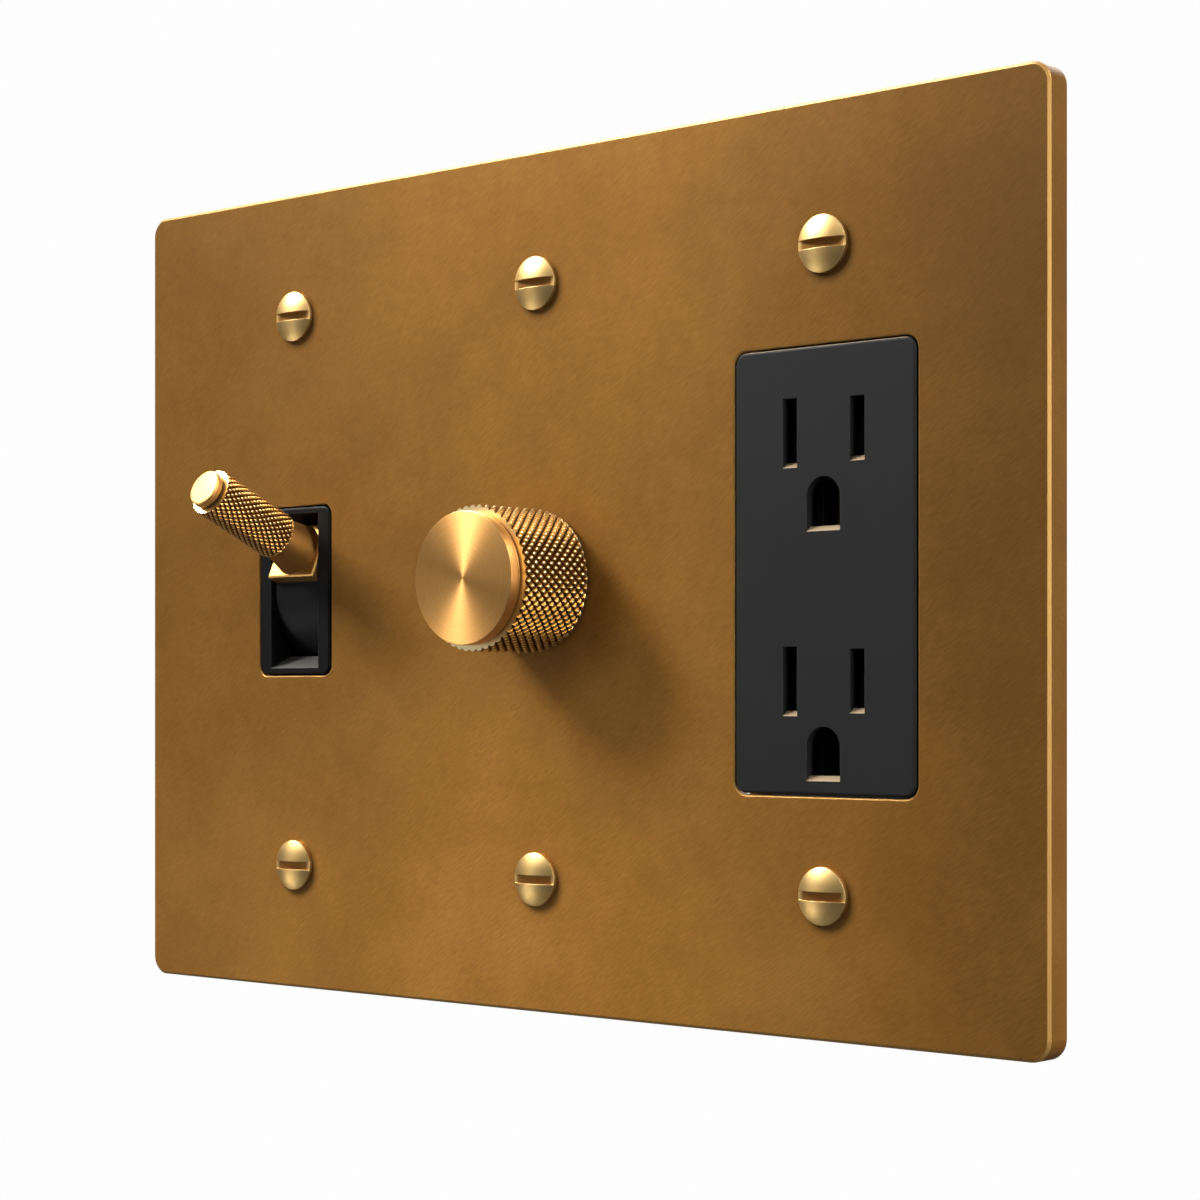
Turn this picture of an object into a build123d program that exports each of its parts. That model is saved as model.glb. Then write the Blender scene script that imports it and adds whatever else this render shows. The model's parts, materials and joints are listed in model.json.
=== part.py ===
from build123d import *
import math
import os

# Three-gang wall plate with a toggle switch, a rotary dimmer and a duplex receptacle.
# Millimetres. +X right, +Z up, +Y into the wall. The origin is the centre of the plate's back face.

# Wall plate
PLATE_WIDTH = 194.0
PLATE_HEIGHT = 140.0
PLATE_THICKNESS = 4.5
PLATE_CORNER_RADIUS = 3.2
PLATE_EDGE_CHAMFER = 0.45
OPENING_CHAMFER = 0.2
GANG_PITCH = 58.0
OPENING_CLEARANCE = 0.3
POCKET_CLEARANCE = 0.3
POCKET_MARGIN = 1.5
POCKET_CORNER_RADIUS = 4.0

# Fits
RUNNING_CLEARANCE = 0.05
FIXED_CLEARANCE = 0.03
HOLE_CLEARANCE = 0.15
SLIDE_CLEARANCE = 0.25
CUT_OVERSHOOT = 1.0

# Plate and box screws
SCREW_RADIUS = 1.75
PLATE_SCREW_REACH = 6.0
PLATE_HEAD_RADIUS = 4.35
PLATE_HEAD_EDGE = 0.6
PLATE_HEAD_DOME = 1.0
PLATE_SLOT_WIDTH = 1.42
PLATE_SLOT_DEPTH = 1.1
BOX_SCREW_SPACING = 83.34
PLATE_SCREW_OFFSET = 6.75
BOX_SCREW_REACH = 20.0
BOX_HEAD_RADIUS = 3.3
BOX_HEAD_EDGE = 0.8
BOX_HEAD_DOME = 0.5
BOX_SLOT_WIDTH = 1.0
BOX_SLOT_DEPTH = 0.7
BOX_NECK_UNDERCUT = 0.25
BOX_HOLE_TRAVEL = 3.0

# Straps
STRAP_THICKNESS = 1.2
STRAP_END_MARGIN = 5.2
STRAP_CORNER_RADIUS = 2.5
EAR_WIDTH = 33.0
EAR_HEIGHT = 17.0
GROUND_TAB_DEPTH = 10.0
GROUND_TAB_HEIGHT = 9.0
RIVET_RADIUS = 1.4
RIVET_HEAD_RADIUS = 2.4
RIVET_HEAD_HEIGHT = 0.8
LUG_WIDTH = 8.0
LUG_HEIGHT = 7.5
LUG_DEPTH = 5.0
LUG_SLOT_CLEARANCE = 0.5

# Terminal screws, side plates and the wall they stand on
TERMINAL_SCREW_RADIUS = 1.75
TERMINAL_SCREW_REACH = 4.0
TERMINAL_HEAD_RADIUS = 3.4
TERMINAL_HEAD_EDGE = 1.4
TERMINAL_HEAD_DOME = 0.4
TERMINAL_SLOT_WIDTH = 1.1
TERMINAL_SLOT_DEPTH = 0.9
TERMINAL_PLATE_THICKNESS = 0.8
TERMINAL_PLATE_HEIGHT = 8.0
TERMINAL_PLATE_DEPTH = 9.0
HOUSING_WALL = 1.8
HOUSING_CORNER_RADIUS = 1.5

# Toggle lever and bezel
BEZEL_SIDE_RAIL = 2.82
BEZEL_END_RAIL = 1.04
BEZEL_CORNER_RADIUS = 1.6
BEZEL_PROUD = 0.15
BEZEL_EDGE_FILLET = 0.35
BEZEL_FLANGE_THICKNESS = 1.4
BEZEL_FLANGE_MARGIN = 3.0
SLEEVE_WALL = 1.0
LEVER_TILT = 24.5
PIVOT_SETBACK = 16.5
PIVOT_PIN_RADIUS = 1.5
BLOCK_WIDTH = 11.5
BLOCK_HEIGHT = 10.2
BLOCK_THICKNESS = 2.16
BLOCK_CLEARANCE = 0.38
BLOCK_EDGE_CHAMFER = 0.25
DRUM_RADIUS = 16.0
DRUM_WALL = 2.2
DRUM_REACH = 80.0
DRUM_CHEEK = 1.4
DRUM_HOUSING_CLEARANCE = 0.9
SILL_GAP = 0.5
HUB_RADIUS = 3.6
HUB_END_CLEARANCE = 0.3
SOCKET_RADIUS = 4.2
SOCKET_LENGTH = 5.4
STEM_RADIUS = 2.5
STEM_ROOT = 4.6
COLLAR_BASE_RADIUS = 4.75
COLLAR_TOP_RADIUS = 3.55
COLLAR_LENGTH = 5.6
GRIP_RADIUS = 4.25
GRIP_LENGTH = 16.5
GRIP_KNURL_DEPTH = 0.28
GRIP_TOOTH_COUNT = 34
GRIP_ROW_COUNT = 18
SPIGOT_RADIUS = 2.3
SPIGOT_END_GAP = 0.8
CAP_RADIUS = 3.3
CAP_HEIGHT = 1.35
CAP_EDGE_CHAMFER = 0.2
CAP_GROOVE = 0.4
CAP_NECK_RADIUS = 2.8
CAP_STUD_RADIUS = 1.2
CAP_STUD_LENGTH = 5.0

# Snap mechanism behind the lever
TAIL_RADIUS = 2.9
TAIL_LENGTH = 6.0
ROCKER_SETBACK = 12.0
ROCKER_TILT = 8.0
ROCKER_HALF_LENGTH = 9.0
ROCKER_WIDTH = 5.0
ROCKER_THICKNESS = 0.8
ROCKER_HUB_RADIUS = 1.7
ROCKER_PIN_RADIUS = 0.8
CONTACT_RADIUS = 1.6
CONTACT_HEIGHT = 0.6
CONTACT_REACH = 7.6
CONTACT_GAP = 0.12
SPRING_RADIUS = 1.7
SPRING_WIRE_RADIUS = 0.3
SPRING_TURNS = 4
SPRING_SEAT_GAP = 0.3
SADDLE_GAP = 0.5
SADDLE_EAR = 0.8
SADDLE_HALF_HEIGHT = 2.2
SADDLE_TOP_MARGIN = 1.0
TERMINAL_BASE_THICKNESS = 0.8
TERMINAL_BASE_CLEARANCE = 3.0
TOGGLE_HOUSING_WIDTH = 26.0
TOGGLE_TERMINAL_Z = 9.0

# Dimmer knob, shaft and bushing
KNOB_RADIUS = 11.7
KNOB_LENGTH = 14.4
KNOB_PLATE_GAP = 0.5
KNOB_KNURL_DEPTH = 0.5
KNOB_TOOTH_COUNT = 48
KNOB_ROW_COUNT = 8
KNOB_BORE_RADIUS = 8.8
KNOB_SPIGOT_LENGTH = 11.0
KNOB_FACE_RADIUS = 10.65
KNOB_FACE_HEIGHT = 2.0
KNOB_FACE_CHAMFER = 0.3
KNOB_GROOVE_HEIGHT = 0.3
KNOB_GROOVE_RADIUS = 9.9
SHAFT_RADIUS = 3.0
SHAFT_FLAT = 1.4
SHAFT_IN_KNOB = 9.0
BUSHING_RADIUS = 4.5
BUSHING_FRONT = 4.0
BUSHING_FLANGE_RADIUS = 6.5
BUSHING_FLANGE_THICKNESS = 1.0
NUT_ACROSS_FLATS = 12.0
NUT_THICKNESS = 2.0
NUT_HOLE_CLEARANCE = 0.5
POT_RADIUS = 8.5
POT_DEPTH = 9.5
POT_WALL = 0.8
WIPER_RADIUS = 6.4
WIPER_THICKNESS = 1.2
WIPER_SETBACK = 4.0
SHAFT_END_GAP = 0.4

# Dimmer electronics and case
DIMMER_STRAP_WIDTH = 44.0
DIMMER_HOUSING_WIDTH = 42.0
DIMMER_HOUSING_HEIGHT = 62.0
BOARD_THICKNESS = 1.6
BOARD_EDGE_CLEARANCE = 0.4
BOARD_REAR_SPACE = 13.0
POST_RADIUS = 2.2
TRIAC_WIDTH = 10.2
TRIAC_TAB_HEIGHT = 15.0
TRIAC_BODY_HEIGHT = 9.0
TRIAC_TAB_THICKNESS = 1.3
TRIAC_BODY_THICKNESS = 4.4
TRIAC_LEAD_WIDTH = 0.8
TRIAC_LEAD_PITCH = 2.54
TRIAC_LEAD_DROP = 1.6
TRIAC_END_GAP = 0.3
CHOKE_RADIUS = 8.0
CHOKE_BORE_RADIUS = 3.4
CHOKE_HEIGHT = 7.5
CHOKE_EDGE_FILLET = 1.8
CHOKE_Z = -14.0
CAPACITOR_WIDTH = 13.0
CAPACITOR_HEIGHT = 6.5
CAPACITOR_DEPTH = 10.5
CAPACITOR_EDGE_FILLET = 0.8
CAPACITOR_Z = 14.0
DIMMER_TERMINAL_Z = 15.0

# Duplex receptacle
FACE_WIDTH = 33.2
FACE_HEIGHT = 66.8
FACE_CORNER_RADIUS = 1.9
FACE_PROUD = 0.15
FACE_EDGE_FILLET = 0.45
OUTLET_END_DISTANCE = 14.8
BLADE_RISE = 2.5
GROUND_DROP = 8.3
BLADE_SPACING = 12.4
BLADE_SLOT_WIDTH = 2.7
NEUTRAL_SLOT_HEIGHT = 9.6
HOT_SLOT_HEIGHT = 8.7
GROUND_HOLE_WIDTH = 6.2
GROUND_HOLE_HEIGHT = 7.3
SLOT_LEDGE_HEIGHT = 0.8
SLOT_LEDGE_DEPTH = 1.2
SLOT_WEB = 1.4
SLOT_RELIEF = 1.2
STRAP_WINDOW_WIDTH = 19.0
STRAP_WINDOW_MARGIN = 1.0
BODY_WIDTH = 33.0
BODY_HEIGHT = 69.0
BODY_DEPTH = 22.0
BODY_CORNER_RADIUS = 2.0
CONTACT_LEAF = 0.7
CONTACT_FRONT = 3.0
CONTACT_DEPTH = 15.0
CONTACT_LEAF_HEIGHT = 6.4
BLADE_GRIP = 1.3
GROUND_GRIP = 4.7
CHANNEL_CLEARANCE = 0.3
RECEPTACLE_TERMINAL_SPACING = 20.0
RECEPTACLE_SIDE_PLATE_HEIGHT = 30.0
SIDE_PLATE_DEPTH = 10.0
BODY_SCREW_RADIUS = 1.4
BODY_SCREW_HEAD_RADIUS = 2.5
BODY_SCREW_HEAD_EDGE = 1.2
BODY_SCREW_HEAD_DOME = 0.4
BODY_SCREW_SLOT_WIDTH = 0.8
BODY_SCREW_SLOT_DEPTH = 0.8
BODY_SCREW_SIDE_DISTANCE = 3.5
BODY_SCREW_END_DISTANCE = 2.4
BODY_SCREW_BITE = 1.8

# Depths and places worked out from the sizes above
FRONT = -PLATE_THICKNESS
STRAP_FRONT = -STRAP_THICKNESS
PLATE_SCREW_SPACING = BOX_SCREW_SPACING + 2 * PLATE_SCREW_OFFSET
STRAP_LENGTH = PLATE_SCREW_SPACING + 2 * STRAP_END_MARGIN
BOSS_RADIUS = PLATE_SCREW_OFFSET - BOX_HEAD_RADIUS - POCKET_CLEARANCE
BOX_HEAD_HEIGHT = BOX_HEAD_EDGE + BOX_HEAD_DOME
SCREW_HOLE_RADIUS = SCREW_RADIUS + HOLE_CLEARANCE
BOX_SLOT_LENGTH = 2 * SCREW_HOLE_RADIUS + BOX_HOLE_TRAVEL
LUG_X = BOX_SLOT_LENGTH / 2 + LUG_SLOT_CLEARANCE + LUG_WIDTH / 2
POCKET_FLOOR = STRAP_FRONT - max(BEZEL_FLANGE_THICKNESS, BOX_HEAD_HEIGHT) - POCKET_CLEARANCE
TOGGLE_X = -GANG_PITCH
DIMMER_X = 0.0
RECEPTACLE_X = GANG_PITCH
GANGS = (TOGGLE_X, DIMMER_X, RECEPTACLE_X)
GROUND_TAB_Z = -(STRAP_LENGTH - EAR_HEIGHT) / 2

TILT = math.radians(LEVER_TILT)
PIVOT_Y = FRONT + PIVOT_SETBACK
RECESS_WIDTH = BLOCK_WIDTH + 2 * BLOCK_CLEARANCE
SILL_OFFSET = BLOCK_HEIGHT / 2 + BLOCK_CLEARANCE
SILL_SLOPE = math.tan(TILT)
SILL_AT_PIVOT = SILL_OFFSET / math.cos(TILT)
BEZEL_FRONT = FRONT - BEZEL_PROUD
BEZEL_WIDTH = RECESS_WIDTH + 2 * BEZEL_SIDE_RAIL
BEZEL_HEIGHT = 2 * (SILL_SLOPE * (PIVOT_Y - BEZEL_FRONT) + SILL_AT_PIVOT + BEZEL_END_RAIL)
SILL_END_RADIUS = DRUM_RADIUS + SILL_GAP
SILL_END_REACH = math.sqrt(SILL_END_RADIUS**2 - SILL_OFFSET**2)
SILL_END_Y = PIVOT_Y - SILL_END_REACH * math.cos(TILT) + SILL_OFFSET * math.sin(TILT)
SEAT_REACH = math.sqrt(DRUM_RADIUS**2 - (BLOCK_HEIGHT / 2) ** 2)
BLOCK_FACE = SEAT_REACH + BLOCK_THICKNESS
GRIP_START = BLOCK_FACE + COLLAR_LENGTH
GRIP_END = GRIP_START + GRIP_LENGTH
TOGGLE_CAVITY_WIDTH = TOGGLE_HOUSING_WIDTH - 2 * HOUSING_WALL
TOGGLE_CAVITY_HEIGHT = 2 * (DRUM_RADIUS + DRUM_HOUSING_CLEARANCE)
TOGGLE_HOUSING_HEIGHT = TOGGLE_CAVITY_HEIGHT + 2 * HOUSING_WALL
ROCKER_Y = PIVOT_Y + ROCKER_SETBACK
TOGGLE_BASE_Y = ROCKER_Y + TERMINAL_BASE_CLEARANCE
TOGGLE_FLOOR = TOGGLE_BASE_Y + TERMINAL_BASE_THICKNESS
TOGGLE_SIDE = TOGGLE_X + TOGGLE_HOUSING_WIDTH / 2

KNOB_BACK = FRONT - KNOB_PLATE_GAP
KNOB_FRONT = KNOB_BACK - KNOB_LENGTH
KNOB_FACE_BACK = KNOB_FRONT - KNOB_GROOVE_HEIGHT
SPIGOT_BACK = KNOB_FRONT + KNOB_SPIGOT_LENGTH
SHAFT_FRONT = SPIGOT_BACK - SHAFT_IN_KNOB
NUT_RADIUS = NUT_ACROSS_FLATS / math.sqrt(3)
POT_BACK = BUSHING_FLANGE_THICKNESS + POT_DEPTH
BOARD_BACK = POT_BACK + BOARD_THICKNESS
DIMMER_FLOOR = BOARD_BACK + BOARD_REAR_SPACE
DIMMER_BACK = DIMMER_FLOOR + HOUSING_WALL
DIMMER_SIDE = DIMMER_X + DIMMER_HOUSING_WIDTH / 2
BOARD_WIDTH = DIMMER_HOUSING_WIDTH - 2 * (HOUSING_WALL + BOARD_EDGE_CLEARANCE)
BOARD_HEIGHT = DIMMER_HOUSING_HEIGHT - 2 * (HOUSING_WALL + BOARD_EDGE_CLEARANCE)

FACE_FRONT = FRONT - FACE_PROUD
OUTLET_Z = FACE_HEIGHT / 2 - OUTLET_END_DISTANCE
OUTLETS = (OUTLET_Z, -OUTLET_Z)
BODY_SCREW_X = min(FACE_WIDTH, BODY_WIDTH) / 2 - BODY_SCREW_SIDE_DISTANCE
BODY_SCREW_Z = min(FACE_HEIGHT, BODY_HEIGHT) / 2 - BODY_SCREW_END_DISTANCE
BLADE_X = BLADE_SPACING / 2
BUS_BACK = CONTACT_DEPTH + CONTACT_LEAF
CHANNEL_BACK = BUS_BACK + CHANNEL_CLEARANCE
WINDOW_TOP = BLADE_RISE + NEUTRAL_SLOT_HEIGHT / 2 + STRAP_WINDOW_MARGIN
WINDOW_BOTTOM = -GROUND_DROP - GROUND_HOLE_HEIGHT / 2 - STRAP_WINDOW_MARGIN
RISER_Z = OUTLETS[1] + WINDOW_BOTTOM - STRAP_WINDOW_MARGIN
BODY_SIDE = BODY_WIDTH / 2


def facing(x, y, z):
    """Sketch plane looking at the front of the plate: local x right, local y up, normal out of the wall."""
    return Plane(origin=(x, y, z), x_dir=(1, 0, 0), z_dir=(0, -1, 0))


def slab(width, height, front, back, x=0.0, z=0.0, radius=0.0):
    """Block between two depths, with rounded corners as seen from the front."""
    outline = RectangleRounded(width, height, radius) if radius else Rectangle(width, height)
    return extrude(facing(x, back, z) * outline, back - front)


def rod(radius, front, back, x=0.0, z=0.0):
    """Round bar along the depth of the wall."""
    return extrude(facing(x, back, z) * Circle(radius), back - front)


def cross_rod(radius, start, end, y, z):
    """Round bar along X."""
    return extrude(Plane(origin=(start, y, z), z_dir=(1, 0, 0)) * Circle(radius), end - start)


def block(x_span, y_span, z_span):
    """Box given by its low and high limits along each axis."""
    spans = (x_span, y_span, z_span)
    middle = [(low + high) / 2 for low, high in spans]
    return Pos(*middle) * Box(*[high - low for low, high in spans])


def turned(points, x=0.0, z=0.0):
    """Solid of revolution about an axis out of the wall, from (radius, depth) points."""
    outline = make_face(Plane(origin=(x, 0, z)) * Polyline(*points, close=True))
    return revolve(outline, Axis((x, 0, z), (0, 1, 0)))


def slotted_screw(shank_radius, reach, head_radius, edge, dome, slot_width, slot_depth):
    """Slotted screw on the Z axis: the head seats on z = 0 and the shank runs down."""
    top = edge + dome
    sphere_radius = (head_radius**2 + dome**2) / (2 * dome)
    head = extrude(Circle(head_radius), top) & Pos(0, 0, top - sphere_radius) * Sphere(sphere_radius)
    slot = Pos(0, 0, top) * Box(4 * head_radius, slot_width, 2 * slot_depth)
    return head - slot + extrude(Circle(shank_radius), -reach)


def mesh_point(tip_radius, valley_radius, around, step_length, i, j):
    """Point of the knurl lattice: a tip where both counts are even or both odd, else a valley crossing."""
    radius = tip_radius if (i + j) % 2 == 0 else valley_radius
    angle = math.pi * i / around
    return Vector(radius * math.cos(angle), radius * math.sin(angle), step_length * j)


def knurled_sleeve(tip_radius, depth, length, around, along, bore_radius):
    """Diamond-knurled tube on the Z axis: staggered four-sided pyramids between two flat toothed ends."""
    step_length = length / (2 * along)

    def point(i, j):
        return mesh_point(tip_radius, tip_radius - depth, around, step_length, i, j)

    facets = []
    for j in range(2 * along):
        for i in range(2 * around):
            corners = [point(i, j), point(i + 1, j), point(i + 1, j + 1), point(i, j + 1)]
            first = (i + j) % 2
            for tip in (first, first + 2):
                facet = (corners[tip], corners[(tip + 1) % 4], corners[(tip + 3) % 4])
                facets.append(Face(Wire.make_polygon(facet, close=True)))
    for j in (0, 2 * along):
        rim = [point(i, j) for i in range(2 * around)]
        facets.append(Face(Wire.make_polygon(rim, close=True)))
    return Solid(Shell(facets)) - extrude(Circle(bore_radius), length)


def screw_places(spacing):
    """Screw centres of the three gangs, top and bottom."""
    return [(x, z) for x in GANGS for z in (spacing / 2, -spacing / 2)]


def on_lever(shape):
    """Carry a shape made along +Z from the pivot onto the tilted lever."""
    direction = (0, -math.cos(TILT), math.sin(TILT))
    return Plane(origin=(TOGGLE_X, PIVOT_Y, 0), x_dir=(1, 0, 0), z_dir=direction).location * shape


def on_rocker(shape):
    """Carry a shape made about the origin onto the tilted contact rocker."""
    return Pos(TOGGLE_X, ROCKER_Y, 0) * Rot(ROCKER_TILT, 0, 0) * shape


# Wall plate and its screws
def wall_plate():
    plate = slab(PLATE_WIDTH, PLATE_HEIGHT, FRONT, 0.0, radius=PLATE_CORNER_RADIUS)
    plate = chamfer(plate.faces().sort_by(Axis.Y)[0].outer_wire().edges(), PLATE_EDGE_CHAMFER)
    pocket_width = 2 * GANG_PITCH + EAR_WIDTH + 2 * POCKET_MARGIN
    pocket_height = STRAP_LENGTH + 2 * POCKET_MARGIN
    pocket = slab(pocket_width, pocket_height, POCKET_FLOOR, 0.0, radius=POCKET_CORNER_RADIUS)
    holes = []
    for x, z in screw_places(PLATE_SCREW_SPACING):
        pocket -= rod(BOSS_RADIUS, POCKET_FLOOR, STRAP_FRONT, x, z)
        holes.append(rod(SCREW_HOLE_RADIUS, FRONT, 0.0, x, z))
    gap = 2 * OPENING_CLEARANCE
    bezel_radius = BEZEL_CORNER_RADIUS + OPENING_CLEARANCE
    face_radius = FACE_CORNER_RADIUS + OPENING_CLEARANCE
    holes.append(slab(BEZEL_WIDTH + gap, BEZEL_HEIGHT + gap, FRONT, 0.0, TOGGLE_X, radius=bezel_radius))
    holes.append(slab(FACE_WIDTH + gap, FACE_HEIGHT + gap, FRONT, 0.0, RECEPTACLE_X, radius=face_radius))
    holes.append(rod(NUT_RADIUS + NUT_HOLE_CLEARANCE, FRONT, 0.0, DIMMER_X))
    plate = plate - pocket - holes
    return chamfer(plate.faces().sort_by(Axis.Y)[0].inner_wires().edges(), OPENING_CHAMFER)


def plate_screws():
    reach = PLATE_THICKNESS + PLATE_SCREW_REACH
    screw = slotted_screw(SCREW_RADIUS, reach, PLATE_HEAD_RADIUS, PLATE_HEAD_EDGE, PLATE_HEAD_DOME,
                          PLATE_SLOT_WIDTH, PLATE_SLOT_DEPTH)
    return [facing(x, FRONT, z).location * screw for x, z in screw_places(PLATE_SCREW_SPACING)]


def box_screws():
    """Captive device screws: an undercut neck in the strap, then the full shank behind it."""
    screw = slotted_screw(SCREW_RADIUS - BOX_NECK_UNDERCUT, STRAP_THICKNESS, BOX_HEAD_RADIUS,
                          BOX_HEAD_EDGE, BOX_HEAD_DOME, BOX_SLOT_WIDTH, BOX_SLOT_DEPTH)
    screw += extrude(Plane.XY.offset(-STRAP_THICKNESS) * Circle(SCREW_RADIUS), -BOX_SCREW_REACH)
    return [facing(x, STRAP_FRONT, z).location * screw for x, z in screw_places(BOX_SCREW_SPACING)]


# Straps, rivets and side terminals that the devices share
def strap(x, width, rivet_places=()):
    """Flat yoke with two ears, screw holes and a folded ground tab at the lower left."""
    ear_width = max(width, EAR_WIDTH)
    ear_z = (STRAP_LENGTH - EAR_HEIGHT) / 2
    yoke = slab(width, STRAP_LENGTH, STRAP_FRONT, 0.0, x, radius=STRAP_CORNER_RADIUS)
    for z in (ear_z, -ear_z):
        yoke += slab(ear_width, EAR_HEIGHT, STRAP_FRONT, 0.0, x, z, STRAP_CORNER_RADIUS)
    slot = SlotOverall(BOX_SLOT_LENGTH, 2 * SCREW_HOLE_RADIUS)
    for side in (1, -1):
        yoke -= rod(SCREW_HOLE_RADIUS, STRAP_FRONT, 0.0, x, side * PLATE_SCREW_SPACING / 2)
        yoke -= extrude(facing(x, 0.0, side * BOX_SCREW_SPACING / 2) * slot, STRAP_THICKNESS)
    countersink = [(0, STRAP_FRONT), (RIVET_HEAD_RADIUS + FIXED_CLEARANCE, STRAP_FRONT),
                   (RIVET_RADIUS + FIXED_CLEARANCE, 0), (0, 0)]
    for place in rivet_places:
        yoke -= turned(countersink, *place)
    edge = x - ear_width / 2
    half_tab = GROUND_TAB_HEIGHT / 2
    tab = block((edge, edge + STRAP_THICKNESS), (STRAP_FRONT, GROUND_TAB_DEPTH),
                (GROUND_TAB_Z - half_tab, GROUND_TAB_Z + half_tab))
    bend = tab.edges().filter_by(Axis.Z).group_by(Axis.Y)[0].sort_by(Axis.X)[0]
    tab = fillet(bend, STRAP_THICKNESS * 0.8)
    yoke -= block((edge - CUT_OVERSHOOT, edge + STRAP_THICKNESS), (STRAP_FRONT, 0.0),
                  (GROUND_TAB_Z - half_tab, GROUND_TAB_Z + half_tab))
    hole = cross_rod(TERMINAL_SCREW_RADIUS + FIXED_CLEARANCE, edge - CUT_OVERSHOOT,
                     edge + STRAP_THICKNESS + CUT_OVERSHOOT, GROUND_TAB_DEPTH / 2, GROUND_TAB_Z)
    return yoke + tab - hole


def terminal_screw():
    return slotted_screw(TERMINAL_SCREW_RADIUS, TERMINAL_SCREW_REACH, TERMINAL_HEAD_RADIUS,
                         TERMINAL_HEAD_EDGE, TERMINAL_HEAD_DOME, TERMINAL_SLOT_WIDTH, TERMINAL_SLOT_DEPTH)


def side_screw(x, y, z, side):
    """Terminal screw whose head seats at x and faces along side times +X."""
    return Plane(origin=(x, y, z), x_dir=(0, 1, 0), z_dir=(side, 0, 0)).location * terminal_screw()


def ground_screw(x, width):
    edge = x - max(width, EAR_WIDTH) / 2
    return side_screw(edge, GROUND_TAB_DEPTH / 2, GROUND_TAB_Z, -1)


def rivets(places):
    """Rivets through the strap and the housing lugs, countersunk flush with the strap's front."""
    back = LUG_DEPTH + RIVET_HEAD_HEIGHT
    profile = [(0, STRAP_FRONT), (RIVET_HEAD_RADIUS, STRAP_FRONT), (RIVET_RADIUS, 0),
               (RIVET_RADIUS, LUG_DEPTH), (RIVET_HEAD_RADIUS, LUG_DEPTH), (RIVET_HEAD_RADIUS, back),
               (0, back)]
    return [turned(profile, *place) for place in places]


def lug_places(x, housing_height):
    """Rivet centres on the two lugs above and the two below a housing, clear of the box screws."""
    z = (housing_height + LUG_HEIGHT) / 2
    return [(x + side_x, side_z) for side_x in (LUG_X, -LUG_X) for side_z in (z, -z)]


def case(x, width, height, floor):
    """Open-fronted moulded box with two riveting lugs above and two below."""
    back = floor + HOUSING_WALL
    shell = slab(width, height, 0.0, back, x, radius=HOUSING_CORNER_RADIUS)
    for place in lug_places(x, height):
        shell += slab(LUG_WIDTH, LUG_HEIGHT, 0.0, LUG_DEPTH, *place)
        shell -= rod(RIVET_RADIUS + FIXED_CLEARANCE, 0.0, LUG_DEPTH, *place)
    return shell - slab(width - 2 * HOUSING_WALL, height - 2 * HOUSING_WALL, 0.0, floor, x)


def terminal_hole_cut(side_x, y, z):
    """Clearance in a right-hand housing wall for a terminal screw's shank."""
    return cross_rod(TERMINAL_SCREW_RADIUS + HOLE_CLEARANCE, side_x - HOUSING_WALL - CUT_OVERSHOOT,
                     side_x + CUT_OVERSHOOT, y, z)


def side_plate(side_x, base_back, z):
    """Screw plate outside a right-hand wall, running forward from the foot that passes through it."""
    half = TERMINAL_PLATE_HEIGHT / 2
    plate = block((side_x, side_x + TERMINAL_PLATE_THICKNESS),
                  (base_back - TERMINAL_PLATE_DEPTH, base_back), (z - half, z + half))
    screw_y = base_back - TERMINAL_PLATE_DEPTH / 2
    return plate - cross_rod(TERMINAL_SCREW_RADIUS + FIXED_CLEARANCE, side_x,
                             side_x + TERMINAL_PLATE_THICKNESS, screw_y, z)


# Toggle switch
def sill_z(y):
    """Height of the recess's sill at a depth: it slopes like the lever at the end of its throw."""
    return SILL_SLOPE * (PIVOT_Y - y) + SILL_AT_PIVOT


def toggle_bezel():
    body = slab(BEZEL_WIDTH, BEZEL_HEIGHT, BEZEL_FRONT, STRAP_FRONT, TOGGLE_X, radius=BEZEL_CORNER_RADIUS)
    body = fillet(body.faces().sort_by(Axis.Y)[0].outer_wire().edges(), BEZEL_EDGE_FILLET)
    flange_width = BEZEL_WIDTH + 2 * BEZEL_FLANGE_MARGIN
    flange_height = BEZEL_HEIGHT + 2 * BEZEL_FLANGE_MARGIN
    body += slab(flange_width, flange_height, STRAP_FRONT - BEZEL_FLANGE_THICKNESS, STRAP_FRONT,
                 TOGGLE_X, radius=BEZEL_CORNER_RADIUS)
    sleeve_height = 2 * (sill_z(STRAP_FRONT) + SLEEVE_WALL)
    body += slab(RECESS_WIDTH + 2 * SLEEVE_WALL, sleeve_height, STRAP_FRONT, SILL_END_Y, TOGGLE_X)
    ahead = BEZEL_FRONT - CUT_OVERSHOOT
    behind = SILL_END_Y + CUT_OVERSHOOT
    outline = [(ahead, sill_z(ahead)), (behind, sill_z(behind)),
               (behind, -sill_z(behind)), (ahead, -sill_z(ahead))]
    side = Plane(origin=(TOGGLE_X - RECESS_WIDTH / 2, 0, 0), x_dir=(0, 1, 0), z_dir=(1, 0, 0))
    recess = extrude(side * make_face(Polyline(*outline, close=True)), RECESS_WIDTH)
    return body - recess


def toggle_strap():
    window_width = RECESS_WIDTH + 2 * (SLEEVE_WALL + SLIDE_CLEARANCE)
    window_height = 2 * (sill_z(STRAP_FRONT) + SLEEVE_WALL + SLIDE_CLEARANCE)
    yoke = strap(TOGGLE_X, TOGGLE_HOUSING_WIDTH, lug_places(TOGGLE_X, TOGGLE_HOUSING_HEIGHT))
    return yoke - slab(window_width, window_height, STRAP_FRONT, 0.0, TOGGLE_X)


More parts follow.
